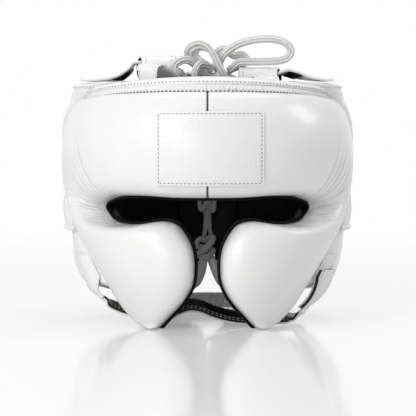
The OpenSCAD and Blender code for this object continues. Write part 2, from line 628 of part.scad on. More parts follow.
LACE_RUN = [
    [-44, -24, 199], [-34, -24, 199], [-24, -24, 198.5], [-21, -27, 197], [-21, -33, 195.5], [-23.5, -38, 196.5],
    [-26.3, -38.6, 201], [-23.5, -38, 205.5], [-17.5, -35.5, 207.5], [-11.5, -31.5, 205.5], [-7.5, -27.5, 201],
    [-3, -24.6, 197], [2.6, -22.9, 195]
];
LACE_COIL = [
    [-21.5, -15.5, 197], [-17, -18, 192], [-13, -25, 189.5], [-10.5, -33, 190], [-9.8, -38, 194], [-9.4, -39, 199.5],
    [-6.5, -36.5, 203.5], [-2.5, -32.5, 203.5], [1, -29.3, 201.8], [3.2, -27, 199.6]
];
LACE_BIGHT = [
    [3.4, -17.6, 198.4], [-4, -17, 203], [-10, -18, 207.5], [-13, -20, 212.5], [-11, -24, 217], [-5, -28, 219],
    [1, -32, 216.5], [5, -35, 211], [8, -37, 205], [11, -38, 199], [13.6, -35.4, 193], [13.4, -30.6, 190.4]
];
LACE_LOOP = [
    [9.8, -25.8, 201.9], [9.6, -26.5, 206], [14, -26.5, 213], [23.5, -27, 219.5], [35, -27, 223.2], [48, -27, 224.3],
    [58, -26, 222.8], [64.5, -25, 218.8], [66.3, -24, 213.5], [62.5, -24, 208.8], [55, -24, 206.8], [43, -24, 206.4],
    [31, -24, 206.2], [25, -23.5, 205.8], [20.5, -22.6, 202], [17, -22, 199]
];
LACE_RING = [
    [8.5, -14.6, 199.6], [7, -13, 206], [8, -14, 213.5], [13, -15, 216.8], [18, -15, 213.5], [22, -15.5, 211.5],
    [27.5, -16, 212], [31, -15, 208.5], [28.5, -13.3, 204.8], [23, -12.8, 202.3], [16.5, -14.6, 199.5]
];
LACE_END = [[17.2, -22, 193.6], [21.5, -23.5, 191.8], [26, -24, 190.8], [35, -24, 190.4], [44, -24, 190.4]];
module lace_run() { cord(LACE_RUN, lace_d, lace_d); }
module lace_coil() { cord(LACE_COIL, lace_d, lace_d); }
module lace_bight() { cord(LACE_BIGHT, 1.8 * lace_d, 0.8 * lace_d); }
module lace_loop() { cord(LACE_LOOP, lace_d, lace_d); }
module lace_ring() { cord(LACE_RING, lace_d, lace_d); }
module lace_end() { cord(LACE_END, lace_d, lace_d); }
module lace_knot() {
    color("white") translate([10.5, -22, 196]) scale(6.1) sphere(r = 1, $fn = 16);
}

NECK_CORD = [[-2.8, 86, 84.7], [-2.7, 86.3, 79], [-2.7, 86.3, 73], [-2.8, 86.2, 67], [-2.9, 86, 62.4]];
NECK_TAIL = [[-4, 83.8, 167.5], [-4.4, 85.4, 150], [-4.2, 86, 134], [-4.2, 86, 118], [-4.6, 86, 106], [-4, 86, 98.2]];
module neck_cord(side) {
    cord([for (p = NECK_CORD) [side * p[0], p[1], p[2]]], neck_lace_d, neck_lace_d);
}
module neck_tail(side) {
    cord([for (p = NECK_TAIL) [side * p[0], p[1], p[2]]], neck_lace_d, neck_lace_d);
}
module knot(at, size) {
    color("white") translate(at) scale(size / 2) sphere(r = 1, $fn = 12);
}
module neck_bow() { knot([0, 86, 91.5], [17, 8, 13]); }
module neck_knot() { knot([-1, 85.6, 53.6], [19, 9, 17]); }

// Strap roots: leather sewn on the ear pads' lower corners, with the chin strap folded on at the left.
ROOT_KS = [13.3, 13.9, 14.5, 15];
root_v = 0.1;
root_dv = 0.0625;
root_bulge = 3;
strap_turn = 12;
strap_mid = -22;
function turned(u, w, z) =
    [u * cos(strap_turn) + w * sin(strap_turn), w * cos(strap_turn) - u * sin(strap_turn), z];
LEFT_FOLD = [92.3, 22];
ANCHOR_END = [80.3, 14];
END_DIR = [0.8, -0.6];
LEFT_DIR = [0.707, -0.707];
function surf_row(k, off) =
    [for (v = steps(root_v - root_dv, root_v + root_dv, 4)) ear_surf(k, v, strap_gap + off)];
function end_row(at, dir, off) =
    [for (w = steps(strap_mid - strap_w / 2, strap_mid + strap_w / 2, 4)) turned(at[0] + dir[0] * off, w, at[1] + dir[1] * off)];
function free_row(at, dir, off, t, bulge) =
    let (from = surf_row(ROOT_KS[len(ROOT_KS) - 1], off), to = end_row(at, dir, off))
    [for (j = [0 : 4]) mix2(from[j], to[j], t) + [0.8, 0, -0.6] * bulge * 4 * t * (1 - t)];
function root_rows(first, at, dir, off, bulge) =
    concat(
        [for (i = [first : 1 : len(ROOT_KS) - 1]) surf_row(ROOT_KS[i], off)],
        [for (t = [0.25, 0.5, 0.75, 1]) free_row(at, dir, off, t, bulge)]
    );
module fold(at) {
    ends = [for (w = [-strap_w / 2, strap_w / 2]) turned(at[0], strap_mid + w, at[1])];
    tube(ends, 2 * fold_r, 2 * fold_r, 12);
}
module strap_root() {
    t = strap_leather_t;
    at = LEFT_FOLD - LEFT_DIR * t / 2;
    color(white_leather) union() {
        grid_solid(root_rows(0, at, LEFT_DIR, t, root_bulge), root_rows(0, at, LEFT_DIR, 0, root_bulge));
        fold(LEFT_FOLD);
    }
}
module closure_layer(off, thick, first) {
    grid_solid(
        root_rows(first, ANCHOR_END, END_DIR, off + thick, root_bulge),
        root_rows(first, ANCHOR_END, END_DIR, off, root_bulge)
    );
}
loop_off = strap_leather_t + 0.1;
hook_off = loop_off + tape_t + strap_gap;
flap_off = hook_off + tape_t + 0.1;
RIGHT_FOLD = ANCHOR_END + END_DIR * (flap_off + strap_leather_t / 2) - [0.6, 0.8] * (fold_r + strap_gap);
module strap_anchor() { color(white_leather) closure_layer(0, strap_leather_t, 0); }
module loop_tape() { color(black_lining) closure_layer(loop_off, tape_t, 3); }
module hook_tape() { color(black_lining) closure_layer(hook_off, tape_t, 3); }
module closure_flap() { color(white_leather) closure_layer(flap_off, strap_leather_t, 3); }

// Chin strap: leather below and lining above, sewn at the left and closed by a flap at the right.
STRAP = [
    [-83.9, -40.3, 21.2], [-81, -39.7, 18.2], [-77, -39.5, 15], [-71, -39.5, 12.3], [-63, -40.5, 10.5], [-52, -44, 9],
    [-40, -49, 7.8], [-31, -53, 8.5], [-22, -53, 12.5], [-13.5, -53, 15], [-5, -53, 13.8], [3, -53, 10.5],
    [12, -53, 7.6], [22, -53, 5.6], [34, -52, 4.8], [46, -49, 4.6], [56, -44.5, 4.5], [64, -41, 4.2],
    [69, -39.2, 4.2], [72.2, -38, 5.6], [74.6, -38.4, 8.8]
];
TILTS = [0, 0, 0.03, 0.06, 0.1, 0.13, 0.15, 0.15, 0.15, 0.15, 0.15, 0.15, 0.15, 0.15, 0.15, 0.13, 0.1, 0.05, 0.02, 0, 0];
end_side = [-sin(strap_turn), -cos(strap_turn), 0];
strap_sides = [for (i = [0 : len(TILTS) - 1])
    i < 2 ? [-end_side[0], end_side[1], 0] : i > len(TILTS) - 3 ? end_side : [0, -1, -TILTS[i]]];
module chin_strap_leather() {
    top = RIGHT_FOLD - END_DIR * strap_leather_t / 2;
    path = concat(STRAP, [turned(top[0], strap_mid, top[1])]);
    sides = concat(strap_sides, [end_side]);
    color(white_leather) union() {
        grid_solid(strip_grid(path, sides, strap_w, 0), strip_grid(path, sides, strap_w, -strap_leather_t));
        fold(RIGHT_FOLD);
    }
}
module chin_strap_lining() {
    w = strap_w - 1;
    up = layer_gap + strap_lining_t;
    color(black_lining) grid_solid(strip_grid(STRAP, strap_sides, w, up), strip_grid(STRAP, strap_sides, w, layer_gap));
}

placed() both_ways(false) front_cover();  // front_cover_left
placed() both_ways(true) front_cover();  // front_cover_right
placed() forehead_foam();
placed() both_ways(false) cheek_foam();  // cheek_foam_left
placed() both_ways(true) cheek_foam();  // cheek_foam_right
placed() both_ways(false) front_lining();  // front_lining_left
placed() both_ways(true) front_lining();  // front_lining_right
placed() face_binding();
placed() top_band();
placed() forehead_patch();
placed() both_ways(false) ear_cover();  // ear_cover_left
placed() both_ways(true) ear_cover();  // ear_cover_right
placed() both_ways(false) ear_foam();  // ear_foam_left
placed() both_ways(true) ear_foam();  // ear_foam_right
placed() both_ways(false) ear_lining();  // ear_lining_left
placed() both_ways(true) ear_lining();  // ear_lining_right
placed() both_ways(false) ear_strip();  // ear_strip_left
placed() both_ways(true) ear_strip();  // ear_strip_right
placed() both_ways(false) neck_cover();  // neck_cover_left
placed() both_ways(true) neck_cover();  // neck_cover_right
placed() both_ways(false) neck_foam();  // neck_foam_left
placed() both_ways(true) neck_foam();  // neck_foam_right
placed() both_ways(false) neck_lining();  // neck_lining_left
placed() both_ways(true) neck_lining();  // neck_lining_right
placed() neck_tongue();
placed() neck_band();
placed() both_ways(false) neck_tab();  // neck_tab_left
placed() both_ways(true) neck_tab();  // neck_tab_right
placed() both_ways(false) crown_strap(sleeve_left_z);  // crown_strap_left
placed() both_ways(true) crown_strap(sleeve_right_z);  // crown_strap_right
placed() both_ways(false) crown_tab(sleeve_left_z);  // crown_tab_left
placed() both_ways(true) crown_tab(sleeve_right_z);  // crown_tab_right
placed() both_ways(false) lace_sleeve(sleeve_left_z);  // lace_sleeve_left
placed() both_ways(true) lace_sleeve(sleeve_right_z);  // lace_sleeve_right
placed() rear_crown_strap();
placed() lace_run();
placed() lace_coil();
placed() lace_bight();
placed() lace_loop();
placed() lace_ring();
placed() lace_end();
placed() lace_knot();
placed() neck_tail(1);  // neck_tail_left
placed() neck_tail(-1);  // neck_tail_right
placed() neck_bow();
placed() neck_cord(1);  // neck_cord_left
placed() neck_cord(-1);  // neck_cord_right
placed() neck_knot();
placed() both_ways(false) strap_root();  // strap_root_left
placed() strap_anchor();  // strap_anchor_right
placed() loop_tape();
placed() chin_strap_leather();
placed() chin_strap_lining();
placed() closure_flap();
placed() hook_tape();
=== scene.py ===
import json
import math

import bmesh
import bpy
import numpy as np
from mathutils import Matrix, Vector

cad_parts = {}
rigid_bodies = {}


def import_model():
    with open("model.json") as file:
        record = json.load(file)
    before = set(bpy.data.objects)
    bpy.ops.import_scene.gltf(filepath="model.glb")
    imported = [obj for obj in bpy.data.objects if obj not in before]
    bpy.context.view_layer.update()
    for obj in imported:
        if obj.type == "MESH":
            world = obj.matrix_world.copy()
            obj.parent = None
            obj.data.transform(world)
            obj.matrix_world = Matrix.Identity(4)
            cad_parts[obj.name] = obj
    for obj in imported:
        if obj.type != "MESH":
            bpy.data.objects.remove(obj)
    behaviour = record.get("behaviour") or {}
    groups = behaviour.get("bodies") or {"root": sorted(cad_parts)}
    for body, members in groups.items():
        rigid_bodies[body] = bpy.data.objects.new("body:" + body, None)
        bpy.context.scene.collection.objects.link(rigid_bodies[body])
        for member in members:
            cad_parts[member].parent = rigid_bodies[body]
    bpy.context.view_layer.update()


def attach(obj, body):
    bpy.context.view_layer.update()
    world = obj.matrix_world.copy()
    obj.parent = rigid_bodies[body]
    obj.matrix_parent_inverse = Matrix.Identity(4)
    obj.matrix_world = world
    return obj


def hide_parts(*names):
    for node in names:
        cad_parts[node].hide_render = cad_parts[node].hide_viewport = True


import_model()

# Camera: a long lens a metre and a half in front of the guard and a little above its middle.
# All sizes from here on are in millimetres, and meshes are scaled to metres as they are made.
MM = 0.001
centre_shift = 6.25
aim = Vector((0.4, centre_shift, 88.8)) * MM
camera_distance, camera_rise = 1.5, math.radians(2.63)
photo_pixels, focal_pixels, sensor_mm = 416, 1850, 36
view_way = Vector((0, math.cos(camera_rise), -math.sin(camera_rise)))
lens = bpy.data.cameras.new("camera")
lens.sensor_width = sensor_mm
lens.lens = sensor_mm * focal_pixels / photo_pixels
camera = bpy.data.objects.new("camera", lens)
camera.location = aim - view_way * camera_distance
camera.rotation_euler = view_way.to_track_quat("-Z", "Y").to_euler()
bpy.context.collection.objects.link(camera)
bpy.context.scene.camera = camera
bpy.context.scene.view_settings.view_transform = "Standard"


# Crown lace: a flat white cotton braid, ribbed along its length, that draws the two leather sleeves
# together. It is tied above the forehead, with one long loop to the right and a wide bight in front.
class Wire:
    """A value inside a material; sums of wires add Math nodes."""

    def __init__(self, tree, socket):
        self.tree, self.socket = tree, socket

    def reckon(self, operation, *values):
        maths = self.tree.nodes.new("ShaderNodeMath")
        maths.operation = operation
        for place, value in enumerate(values):
            if isinstance(value, Wire):
                self.tree.links.new(value.socket, maths.inputs[place])
            else:
                maths.inputs[place].default_value = value
        return Wire(self.tree, maths.outputs[0])

    def __add__(self, other):
        return self.reckon("ADD", self, other)

    def __sub__(self, other):
        return self.reckon("SUBTRACT", self, other)

    def __rsub__(self, other):
        return self.reckon("SUBTRACT", other, self)

    def __mul__(self, other):
        return self.reckon("MULTIPLY", self, other)

    def __pow__(self, other):
        return self.reckon("POWER", self, other)

    __radd__, __rmul__ = __add__, __mul__


class Finish:
    """A material: one Principled shader, and any other node by its type."""

    def __init__(self, name, colour, roughness, **fixed):
        self.material = bpy.data.materials.new(name)
        self.material.use_nodes = True
        self.tree = self.material.node_tree
        self.skin = self.tree.nodes["Principled BSDF"]
        self.skin.inputs["Base Color"].default_value = (*colour, 1)
        self.skin.inputs["Roughness"].default_value = roughness
        for socket, value in fixed.items():
            self.skin.inputs[socket.replace("_", " ")].default_value = value

    def node(self, kind, settings=None, inputs=None, out=0):
        made = self.tree.nodes.new("ShaderNode" + kind)
        for key, value in (settings or {}).items():
            setattr(made, key, value)
        for key, value in (inputs or {}).items():
            if isinstance(value, Wire):
                self.tree.links.new(value.socket, made.inputs[key])
            else:
                made.inputs[key].default_value = value
        return Wire(self.tree, made.outputs[out])

    def feed(self, socket, wire):
        self.tree.links.new(wire.socket, self.skin.inputs[socket])

    def place(self):
        return self.node("TexCoord", out="Object")

    def noise(self, scale, detail=2.0, rough=0.5, at=None):
        sockets = {"Vector": at or self.place(), "Scale": scale, "Detail": detail, "Roughness": rough}
        return self.node("TexNoise", None, sockets, out="Fac")

    def sine(self, wire):
        return wire.reckon("SINE", wire)

    def tint(self, share, low, high):
        sockets = {0: share, 6: (*low, 1), 7: (*high, 1)}
        self.feed("Base Color", self.node("Mix", {"data_type": "RGBA"}, sockets, out=2))

    def bump(self, height, depth):
        self.feed("Normal", self.node("Bump", None, {"Height": height, "Distance": depth, "Strength": 1.0}))


def through(points, s):
    """Points on the smooth curve through a list of points, at positions s counted in points."""
    points, s = np.asarray(points, float), np.asarray(s, float)
    last = len(points) - 1
    i = np.clip(np.floor(s).astype(int), 0, last - 1)
    t = (s - i)[..., None]
    b, c = points[i], points[i + 1]
    a = np.where((i > 0)[..., None], points[np.maximum(i - 1, 0)], 2 * points[0] - points[1])
    ahead = points[np.minimum(i + 2, last)]
    d = np.where((i + 2 <= last)[..., None], ahead, 2 * points[last] - points[last - 1])
    return 0.5 * (2 * b + (c - a) * t + (2 * a - 5 * b + 4 * c - d) * t**2 + (3 * b - a - 3 * c + d) * t**3)


def finer(points, steps):
    """A list of points made smooth, with so many steps between two of them."""
    last = len(points) - 1
    return through(points, np.linspace(0, last, last * steps + 1))


def unit(v):
    return v / np.maximum(np.linalg.norm(v, axis=-1, keepdims=True), 1e-9)


def ways(path):
    return unit(np.gradient(path, axis=0))


def run_of(path):
    """Distance along a path at each of its points."""
    return np.concatenate([[0], np.cumsum(np.linalg.norm(np.diff(path, axis=0), axis=1))])


def piece(name, points, faces, finish, replaces=(), uv=None, body="guard"):
    """A mesh piece from points in millimetres, riding on its body."""
    mesh = bpy.data.meshes.new(name)
    mesh.from_pydata((np.asarray(points).reshape(-1, 3) * MM).tolist(), [], [list(f) for f in faces])
    if uv is not None:
        layer = mesh.uv_layers.new(name="along")
        corner = np.zeros(len(mesh.loops), np.int32)
        mesh.loops.foreach_get("vertex_index", corner)
        layer.data.foreach_set("uv", np.asarray(uv, np.float32).reshape(-1, 2)[corner].ravel())
    work = bmesh.new()
    work.from_mesh(mesh)
    bmesh.ops.recalc_face_normals(work, faces=work.faces)
    work.to_mesh(mesh)
    work.free()
    mesh.shade_smooth()
    mesh.materials.append(finish.material)
    made = bpy.data.objects.new(name, mesh)
    bpy.context.collection.objects.link(made)
    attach(made, body)
    if replaces:
        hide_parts(*replaces)
    return made


def ring_faces(rows, cols, first=0):
    """Faces between rings of points, with one face over each end."""
    faces = [
        (first + i * cols + j, first + (i + 1) * cols + j,
         first + (i + 1) * cols + (j + 1) % cols, first + i * cols + (j + 1) % cols)
        for i in range(rows - 1) for j in range(cols)
    ]
    return faces + [[first + j for j in range(cols)], [first + (rows - 1) * cols + j for j in range(cols)]]


def carried_frame(path, start):
    """Side and up directions at each point of a path, carried along it without twist."""
    way = ways(path)
    side = [unit(np.cross(way[0], np.array(start, float)))]
    for w in way[1:]:
        side.append(unit(side[-1] - w * (side[-1] @ w)))
    return np.array(side), np.cross(way, np.array(side))


def lace_rings(path, wide, high, sides, ribs, rib, start):
    """Rings round a lace's path; wide and high are full sizes, and rib is the ribs' share of them."""
    side, up = carried_frame(path, start)
    turn = np.linspace(0, 2 * np.pi, sides, endpoint=False)
    swell = 1 + rib * np.cos(2 * ribs * turn) * np.abs(np.sin(turn))
    wide, high = (np.broadcast_to(x, len(path))[:, None, None] / 2 for x in (wide, high))
    across, rise = (np.cos(turn) * swell)[None, :, None], (np.sin(turn) * swell)[None, :, None]
    return path[:, None] + side[:, None] * across * wide + up[:, None] * rise * high


def braided(name, colour, lean):
    """White braid: plaited threads that cross along the lace, in the lace's own u and v."""
    lace = Finish(name, colour, 0.6, Sheen_Weight=0.2, Sheen_Roughness=0.5)
    flat = lace.node("UVMap", {"uv_map": "along"})
    split = lace.node("SeparateXYZ", None, {0: flat})
    along, around = split, Wire(lace.tree, split.socket.node.outputs[1])
    plait = along * (2 * math.pi / lean)
    turns = 16 * math.pi
    left, right = lace.sine(plait + around * turns), lace.sine(plait - around * turns)
    ribs = lace.sine(around * turns + math.pi / 2)
    lace.bump(ribs * 0.9 + left * right * 0.22 + lace.noise(900, 3) * 0.6, 0.0003)
    lace.tint(ribs * 0.4 + left * right * 0.12 + 0.52, tuple(c * 0.8 for c in colour), colour)
    return lace


white_braid = braided("white_braid", (0.86, 0.86, 0.85), 0.0026)
lace_w, lace_h, lace_sides = 6.4, 5.4, 48


def lace(name, route, wide=lace_w, high=lace_h, far_end="knot", knots=(), nodes=(), start=(0.3, 0.9, 0.2)):
    """One stretch of lace through its route's points."""
    path = finer(np.array(route, float) + (0, centre_shift, 0), 9)
    rings = lace_rings(path, wide, high, lace_sides, 4, 0.07, start)
    uv = [(u * MM, j / lace_sides) for u in run_of(path) for j in range(lace_sides)]
    made = piece(name + "_braid", rings, ring_faces(len(path), lace_sides), white_braid, nodes or [name], uv)
    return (made, tuple(path[0] * MM), max(wide, high) * MM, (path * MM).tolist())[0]


def knot(name, route, thick):
    """A knot: one closed lace through its route's points, wound over and under itself."""
    route = np.array(route, float)
    looped = np.vstack([route[-2:], route, route[:3]])
    path = through(looped, np.linspace(2, len(route) + 2, 20 * len(route) + 1)[:-1]) + (0, centre_shift, 0)
    ring = np.vstack([path, path[:1]])
    way = unit(np.roll(path, -1, 0) - np.roll(path, 1, 0))
    out = unit(path - path.mean(0))
    side = unit(np.cross(way, out))
    up = np.cross(way, side)
    turn = np.linspace(0, 2 * np.pi, 24, endpoint=False)
    rings = path[:, None] + (side[:, None] * np.cos(turn)[:, None] + up[:, None] * np.sin(turn)[:, None] * 0.8) * thick / 2
    n, m = len(path), len(turn)
    faces = [
        (i * m + j, (i + 1) % n * m + j, (i + 1) % n * m + (j + 1) % m, i * m + (j + 1) % m)
        for i in range(n) for j in range(m)
    ]
    uv = [(u * MM, j / m) for u in run_of(ring)[:-1] for j in range(m)]
    return piece(name + "_braid", rings, faces, white_braid, [name], uv)


t = np.arange(18) / 18 * 2 * np.pi
trefoil = np.stack([(2 + np.cos(3 * t)) * np.cos(2 * t), 3.4 * np.sin(3 * t), (2 + np.cos(3 * t)) * np.sin(2 * t)], -1)
lace_knot = knot("lace_knot", trefoil * 1.15 + (10.5, -22, 196), 5.0)
lace("lace_run", [
    (-44, -24, 199), (-34, -24, 199), (-24, -24, 198.5), (-21, -27, 197), (-21, -33, 195.5), (-23.5, -38, 196.5),
    (-26.3, -38.6, 201), (-23.5, -38, 205.5), (-17.5, -35.5, 207.5), (-11.5, -31.5, 205.5), (-7.5, -27.5, 201),
    (-3, -24.6, 197), (2.6, -22.9, 195), (10, -22.4, 194), (17.2, -22, 193.6), (21.5, -23.5, 191.8),
    (26, -24, 190.8), (35, -24, 190.4), (44, -24, 190.4),
], far_end="object", nodes=["lace_run", "lace_end"])
lace("lace_coil", [
    (-21.5, -15.5, 197), (-17, -18, 192), (-13, -25, 189.5), (-10.5, -33, 190), (-9.8, -38, 194), (-9.4, -39, 199.5),
    (-6.5, -36.5, 203.5), (-2.5, -32.5, 203.5), (1, -29.3, 201.8), (3.2, -27, 199.6),
], knots=[lace_knot])
lace("lace_bight", [
    (3.4, -17.6, 198.4), (-4, -17, 203), (-10, -18, 207.5), (-13, -20, 212.5), (-11, -24, 217), (-5, -28, 219),
    (1, -32, 216.5), (5, -35, 211), (8, -37, 205), (11, -38, 199), (13.6, -35.4, 193), (13.4, -30.6, 190.4),
], wide=1.8 * lace_w, high=0.8 * lace_w, knots=[lace_knot])
lace("lace_loop", [
    (9.8, -25.8, 201.9), (9.6, -26.5, 206), (14, -26.5, 213), (23.5, -27, 219.5), (35, -27, 223.2), (48, -27, 224.3),
    (58, -26, 222.8), (64.5, -25, 218.8), (66.3, -24, 213.5), (62.5, -24, 208.8), (55, -24, 206.8), (43, -24, 206.4),
    (31, -24, 206.2), (25, -23.5, 205.8), (20.5, -22.6, 202), (17, -22, 199),
], knots=[lace_knot])
lace("lace_ring", [
    (8.5, -14.6, 199.6), (7, -13, 206), (8, -14, 213.5), (13, -15, 216.8), (18, -15, 213.5), (22, -15.5, 211.5),
    (27.5, -16, 212), (31, -15, 208.5), (28.5, -13.3, 204.8), (23, -12.8, 202.3), (16.5, -14.6, 199.5),
], knots=[lace_knot])

# Neck lace: a thinner round lace that hangs from the rear crown strap, doubled, with a bow knot
# halfway down and a crossing knot above the two neck tabs, which it draws together.
neck_lace_w = 3.6
neck_bow = knot("neck_bow", [
    (0, 84, 94), (-4, 83.5, 95), (-6.6, 84, 91), (-6.4, 85.5, 85), (-4, 85, 83.2), (-2, 83.5, 88), (0, 82.5, 91),
    (2, 83.5, 87), (3.6, 85, 82.6), (5.4, 85.5, 84), (5.6, 84, 91), (3.6, 83.5, 95),
], 4.8)
neck_knot = knot("neck_knot", [
    (-8, 83.5, 45), (-3, 82.5, 49.5), (2, 82.5, 54), (5, 84, 58.5), (3, 87, 60), (-2, 87.5, 57), (-6, 85, 58.4),
    (-9, 83.5, 56), (-8.8, 84, 52.6), (-5, 86.5, 51), (1, 87.5, 50), (4.6, 86, 48), (2, 84, 45), (-4, 83, 43),
], 5.6)
for side, word in ((1, "left"), (-1, "right")):
    lace("neck_strand_" + word, [
        (side * x, y, z) for x, y, z in
        [(-4, 83.8, 167.5), (-4.4, 85.4, 150), (-4.2, 86, 134), (-4.2, 86, 118), (-4.4, 86, 106), (-3, 86, 98.2),
         (-1.7, 86, 91.5), (-1.6, 86, 84.7), (-1.6, 86.3, 79), (-1.6, 86.3, 73), (-2, 86.2, 67), (-3, 86, 60.5)]
    ], neck_lace_w, 3.4, knots=[neck_bow, neck_knot] if side == 1 else [], nodes=["neck_tail_" + word, "neck_cord_" + word])

# Front linings: thin black leather against the face, cut in two halves that meet at the forehead.
# The head shape that all the padding follows comes first: an oval that widens up to the temples.
guard_w, front_reach, back_reach, shell_h = 239, 127, 122, 193
front_pad_t, ear_pad_t, back_pad_t, tip_t, tip_lift = 35, 35, 24, 12, 18
leather_t, lining_t, layer_gap, seam_gap = 1.5, 1.2, 0.25, 0.6
base_d = lining_t + layer_gap
head_form = [
    (0.78, 0.88, 0.90), (0.83, 0.94, 0.935), (0.885, 0.985, 0.965), (0.935, 1.00, 0.985), (0.98, 0.995, 1.00),
    (1.00, 1.00, 1.00), (0.995, 1.00, 0.985), (0.945, 0.97, 0.93), (0.84, 0.89, 0.83), (0.66, 0.72, 0.62),
]
form_steps = 8


def half_w(z):
    return through(head_form, form_steps * np.asarray(z, float) / shell_h)[..., 0] * guard_w / 2


def head(a, z, d):
    """A point at an angle from the front, a height, and a distance out from the wearer's head."""
    a, z, d = np.broadcast_arrays(*(np.asarray(x, float) for x in (a, z, d)))
    form = through(head_form, form_steps * z / shell_h)
    wide = form[..., 0] * guard_w / 2 - ear_pad_t + d
    front, back = form[..., 1] * front_reach - front_pad_t + d, form[..., 2] * back_reach - back_pad_t + d
    turn = np.radians(a)
    reach = np.where(np.abs(a) <= 90, front, back)
    return np.stack([wide * np.sin(turn), -reach * np.cos(turn) + centre_shift, z], -1)


eye_w, eye_z, brow_z, eye_floor_z, cheek_gap, cheek_gap_z, tip_spread = 151, 91.5, 101, 79.5, 18, 50, 87
band_low_z, band_reach, pad_top_z, wall_h = 181, 64, 190, 3
eye_a = math.degrees(math.asin(eye_w / 2 / (half_w(eye_z) - ear_pad_t + wall_h)))
gap_a = math.degrees(math.asin(cheek_gap / 2 / (half_w(cheek_gap_z) - ear_pad_t + wall_h)))
tip_a = math.degrees(math.asin(tip_spread / 2 / (half_w(0) - ear_pad_t + tip_lift + tip_t)))
cheek_drop = eye_floor_z - cheek_gap_z
face_line = [
    (0, brow_z), (0.23 * eye_a, brow_z), (0.43 * eye_a, brow_z + 1), (0.6 * eye_a, brow_z + 1),
    (0.74 * eye_a, brow_z + 0.2), (0.86 * eye_a, brow_z - 2.5), (0.95 * eye_a, eye_z + 4.5), (eye_a, eye_z + 0.8),
    (0.99 * eye_a, eye_z - 2.5), (0.96 * eye_a, eye_z - 5), (0.9 * eye_a, eye_floor_z + 2.7),
    (0.8 * eye_a, eye_floor_z + 0.6), (0.66 * eye_a, eye_floor_z), (0.5 * eye_a, eye_floor_z + 1.3),
    (0.37 * eye_a, eye_floor_z + 3.3), (0.26 * eye_a, eye_floor_z + 1.5),
    (1.75 * gap_a, eye_floor_z - 0.16 * cheek_drop), (1.18 * gap_a, eye_floor_z - 0.55 * cheek_drop),
    (gap_a, cheek_gap_z), (1.2 * gap_a, 0.7 * cheek_gap_z), (0.47 * tip_a, 0.43 * cheek_gap_z),
    (0.73 * tip_a, 0.2 * cheek_gap_z), (0.93 * tip_a, 0.02 * cheek_gap_z),
]
back_line = [
    (0, band_low_z), (15, band_low_z), (31, band_low_z - 0.5), (47, band_low_z - 1.2), (61, band_low_z - 3),
    (75, band_low_z - 7), (88, 158), (95.5, 133), (93, 114), (86.5, 99), (82, 87), (79, 76), (76, 66), (72.5, 57),
    (69, 48), (64.5, 39.5), (60, 31), (55.5, 23), (51.5, 16), (47.5, 10.5), (43.5, 6.5), (39.5, 3.5),
    (1.12 * tip_a, 1),
]
pad_share = np.array([34, 34.5, 35, 35, 35, 35, 34, 33, 33, 33, 34] + [35] * 7 + [34.5, 33, 31, 28, 12]) / 35
tip_start, line_end = 15, 22


def tip_share(k):
    return (np.maximum(0, k - tip_start) / (line_end - tip_start)) ** 1.6


def front_t(k):
    full = front_pad_t * np.minimum(1, through(pad_share[:, None], k)[..., 0])
    return full * (1 - tip_share(k)) + tip_t * tip_share(k)


def pad_faces(rows, cols, first=0):
    return [
        (first + i * cols + j, first + (i + 1) * cols + j, first + (i + 1) * cols + j + 1, first + i * cols + j + 1)
        for i in range(rows - 1) for j in range(cols - 1)
    ]


def closed_faces(rows, cols):
    """Faces of a solid between two grids of points that share their rows and columns."""
    size = rows * cols
    border = [j for j in range(cols)] + [i * cols + cols - 1 for i in range(1, rows)]
    border += [(rows - 1) * cols + j for j in range(cols - 2, -1, -1)] + [i * cols for i in range(rows - 2, 0, -1)]
    rim = [(a, b, b + size, a + size) for a, b in zip(border, border[1:] + border[:1])]
    return pad_faces(rows, cols) + pad_faces(rows, cols, size) + rim


def normals(grid):
    """Directions square to a grid of points, out of the wearer's head."""
    out = unit(np.cross(np.gradient(grid, axis=0), np.gradient(grid, axis=1)))
    middle = grid - np.array([0, centre_shift, 0])
    middle[..., 2] = 0
    return out if (out * middle).sum() > 0 else -out


def eased(grid, rounds):
    """A grid with its small creases eased out, and its border kept."""
    for _ in range(rounds):
        inner = (grid[:-2, 1:-1] + grid[2:, 1:-1] + grid[1:-1, :-2] + grid[1:-1, 2:]) / 4
        grid[1:-1, 1:-1] = (grid[1:-1, 1:-1] + inner) / 2
    return grid


def cross_section(p, q, thick, lift, inset, turn, walls, foot=0.0, soft=0.0):
    """Rows of points over a pad from line p to line q: a side wall at each end and a crown between."""
    r = half_w(p[:, 1]) - ear_pad_t + thick
    span = np.hypot((q[:, 0] - p[:, 0]) * np.radians(r), q[:, 1] - p[:, 1])
    cut = (inset / np.maximum(span, 5 * leather_t))[:, None]
    lift, top = lift[:, None], (thick - inset)[:, None]
    v = 0.5 - (0.5 - cut) * np.cos(turn)[None, :]
    side = base_d + np.minimum(top - base_d - 0.5, walls[0][:, None] * (1 - v) + walls[1][:, None] * v)
    crown = np.maximum(0, np.sin(turn)) ** (0.6 + soft * (1 - v) ** 3)
    d = lift + side + (top - side) * crown
    v = np.hstack([cut, v, 1 - cut])
    d = np.hstack([lift + base_d + foot, d, lift + base_d + foot])
    line = p[:, None, :] + (q - p)[:, None, :] * v[..., None]
    grid = head(line[..., 0], line[..., 1], d)
    grid[..., 2] = np.maximum(grid[..., 2], inset)
    return grid, v * span[:, None], (1 - v) * span[:, None]


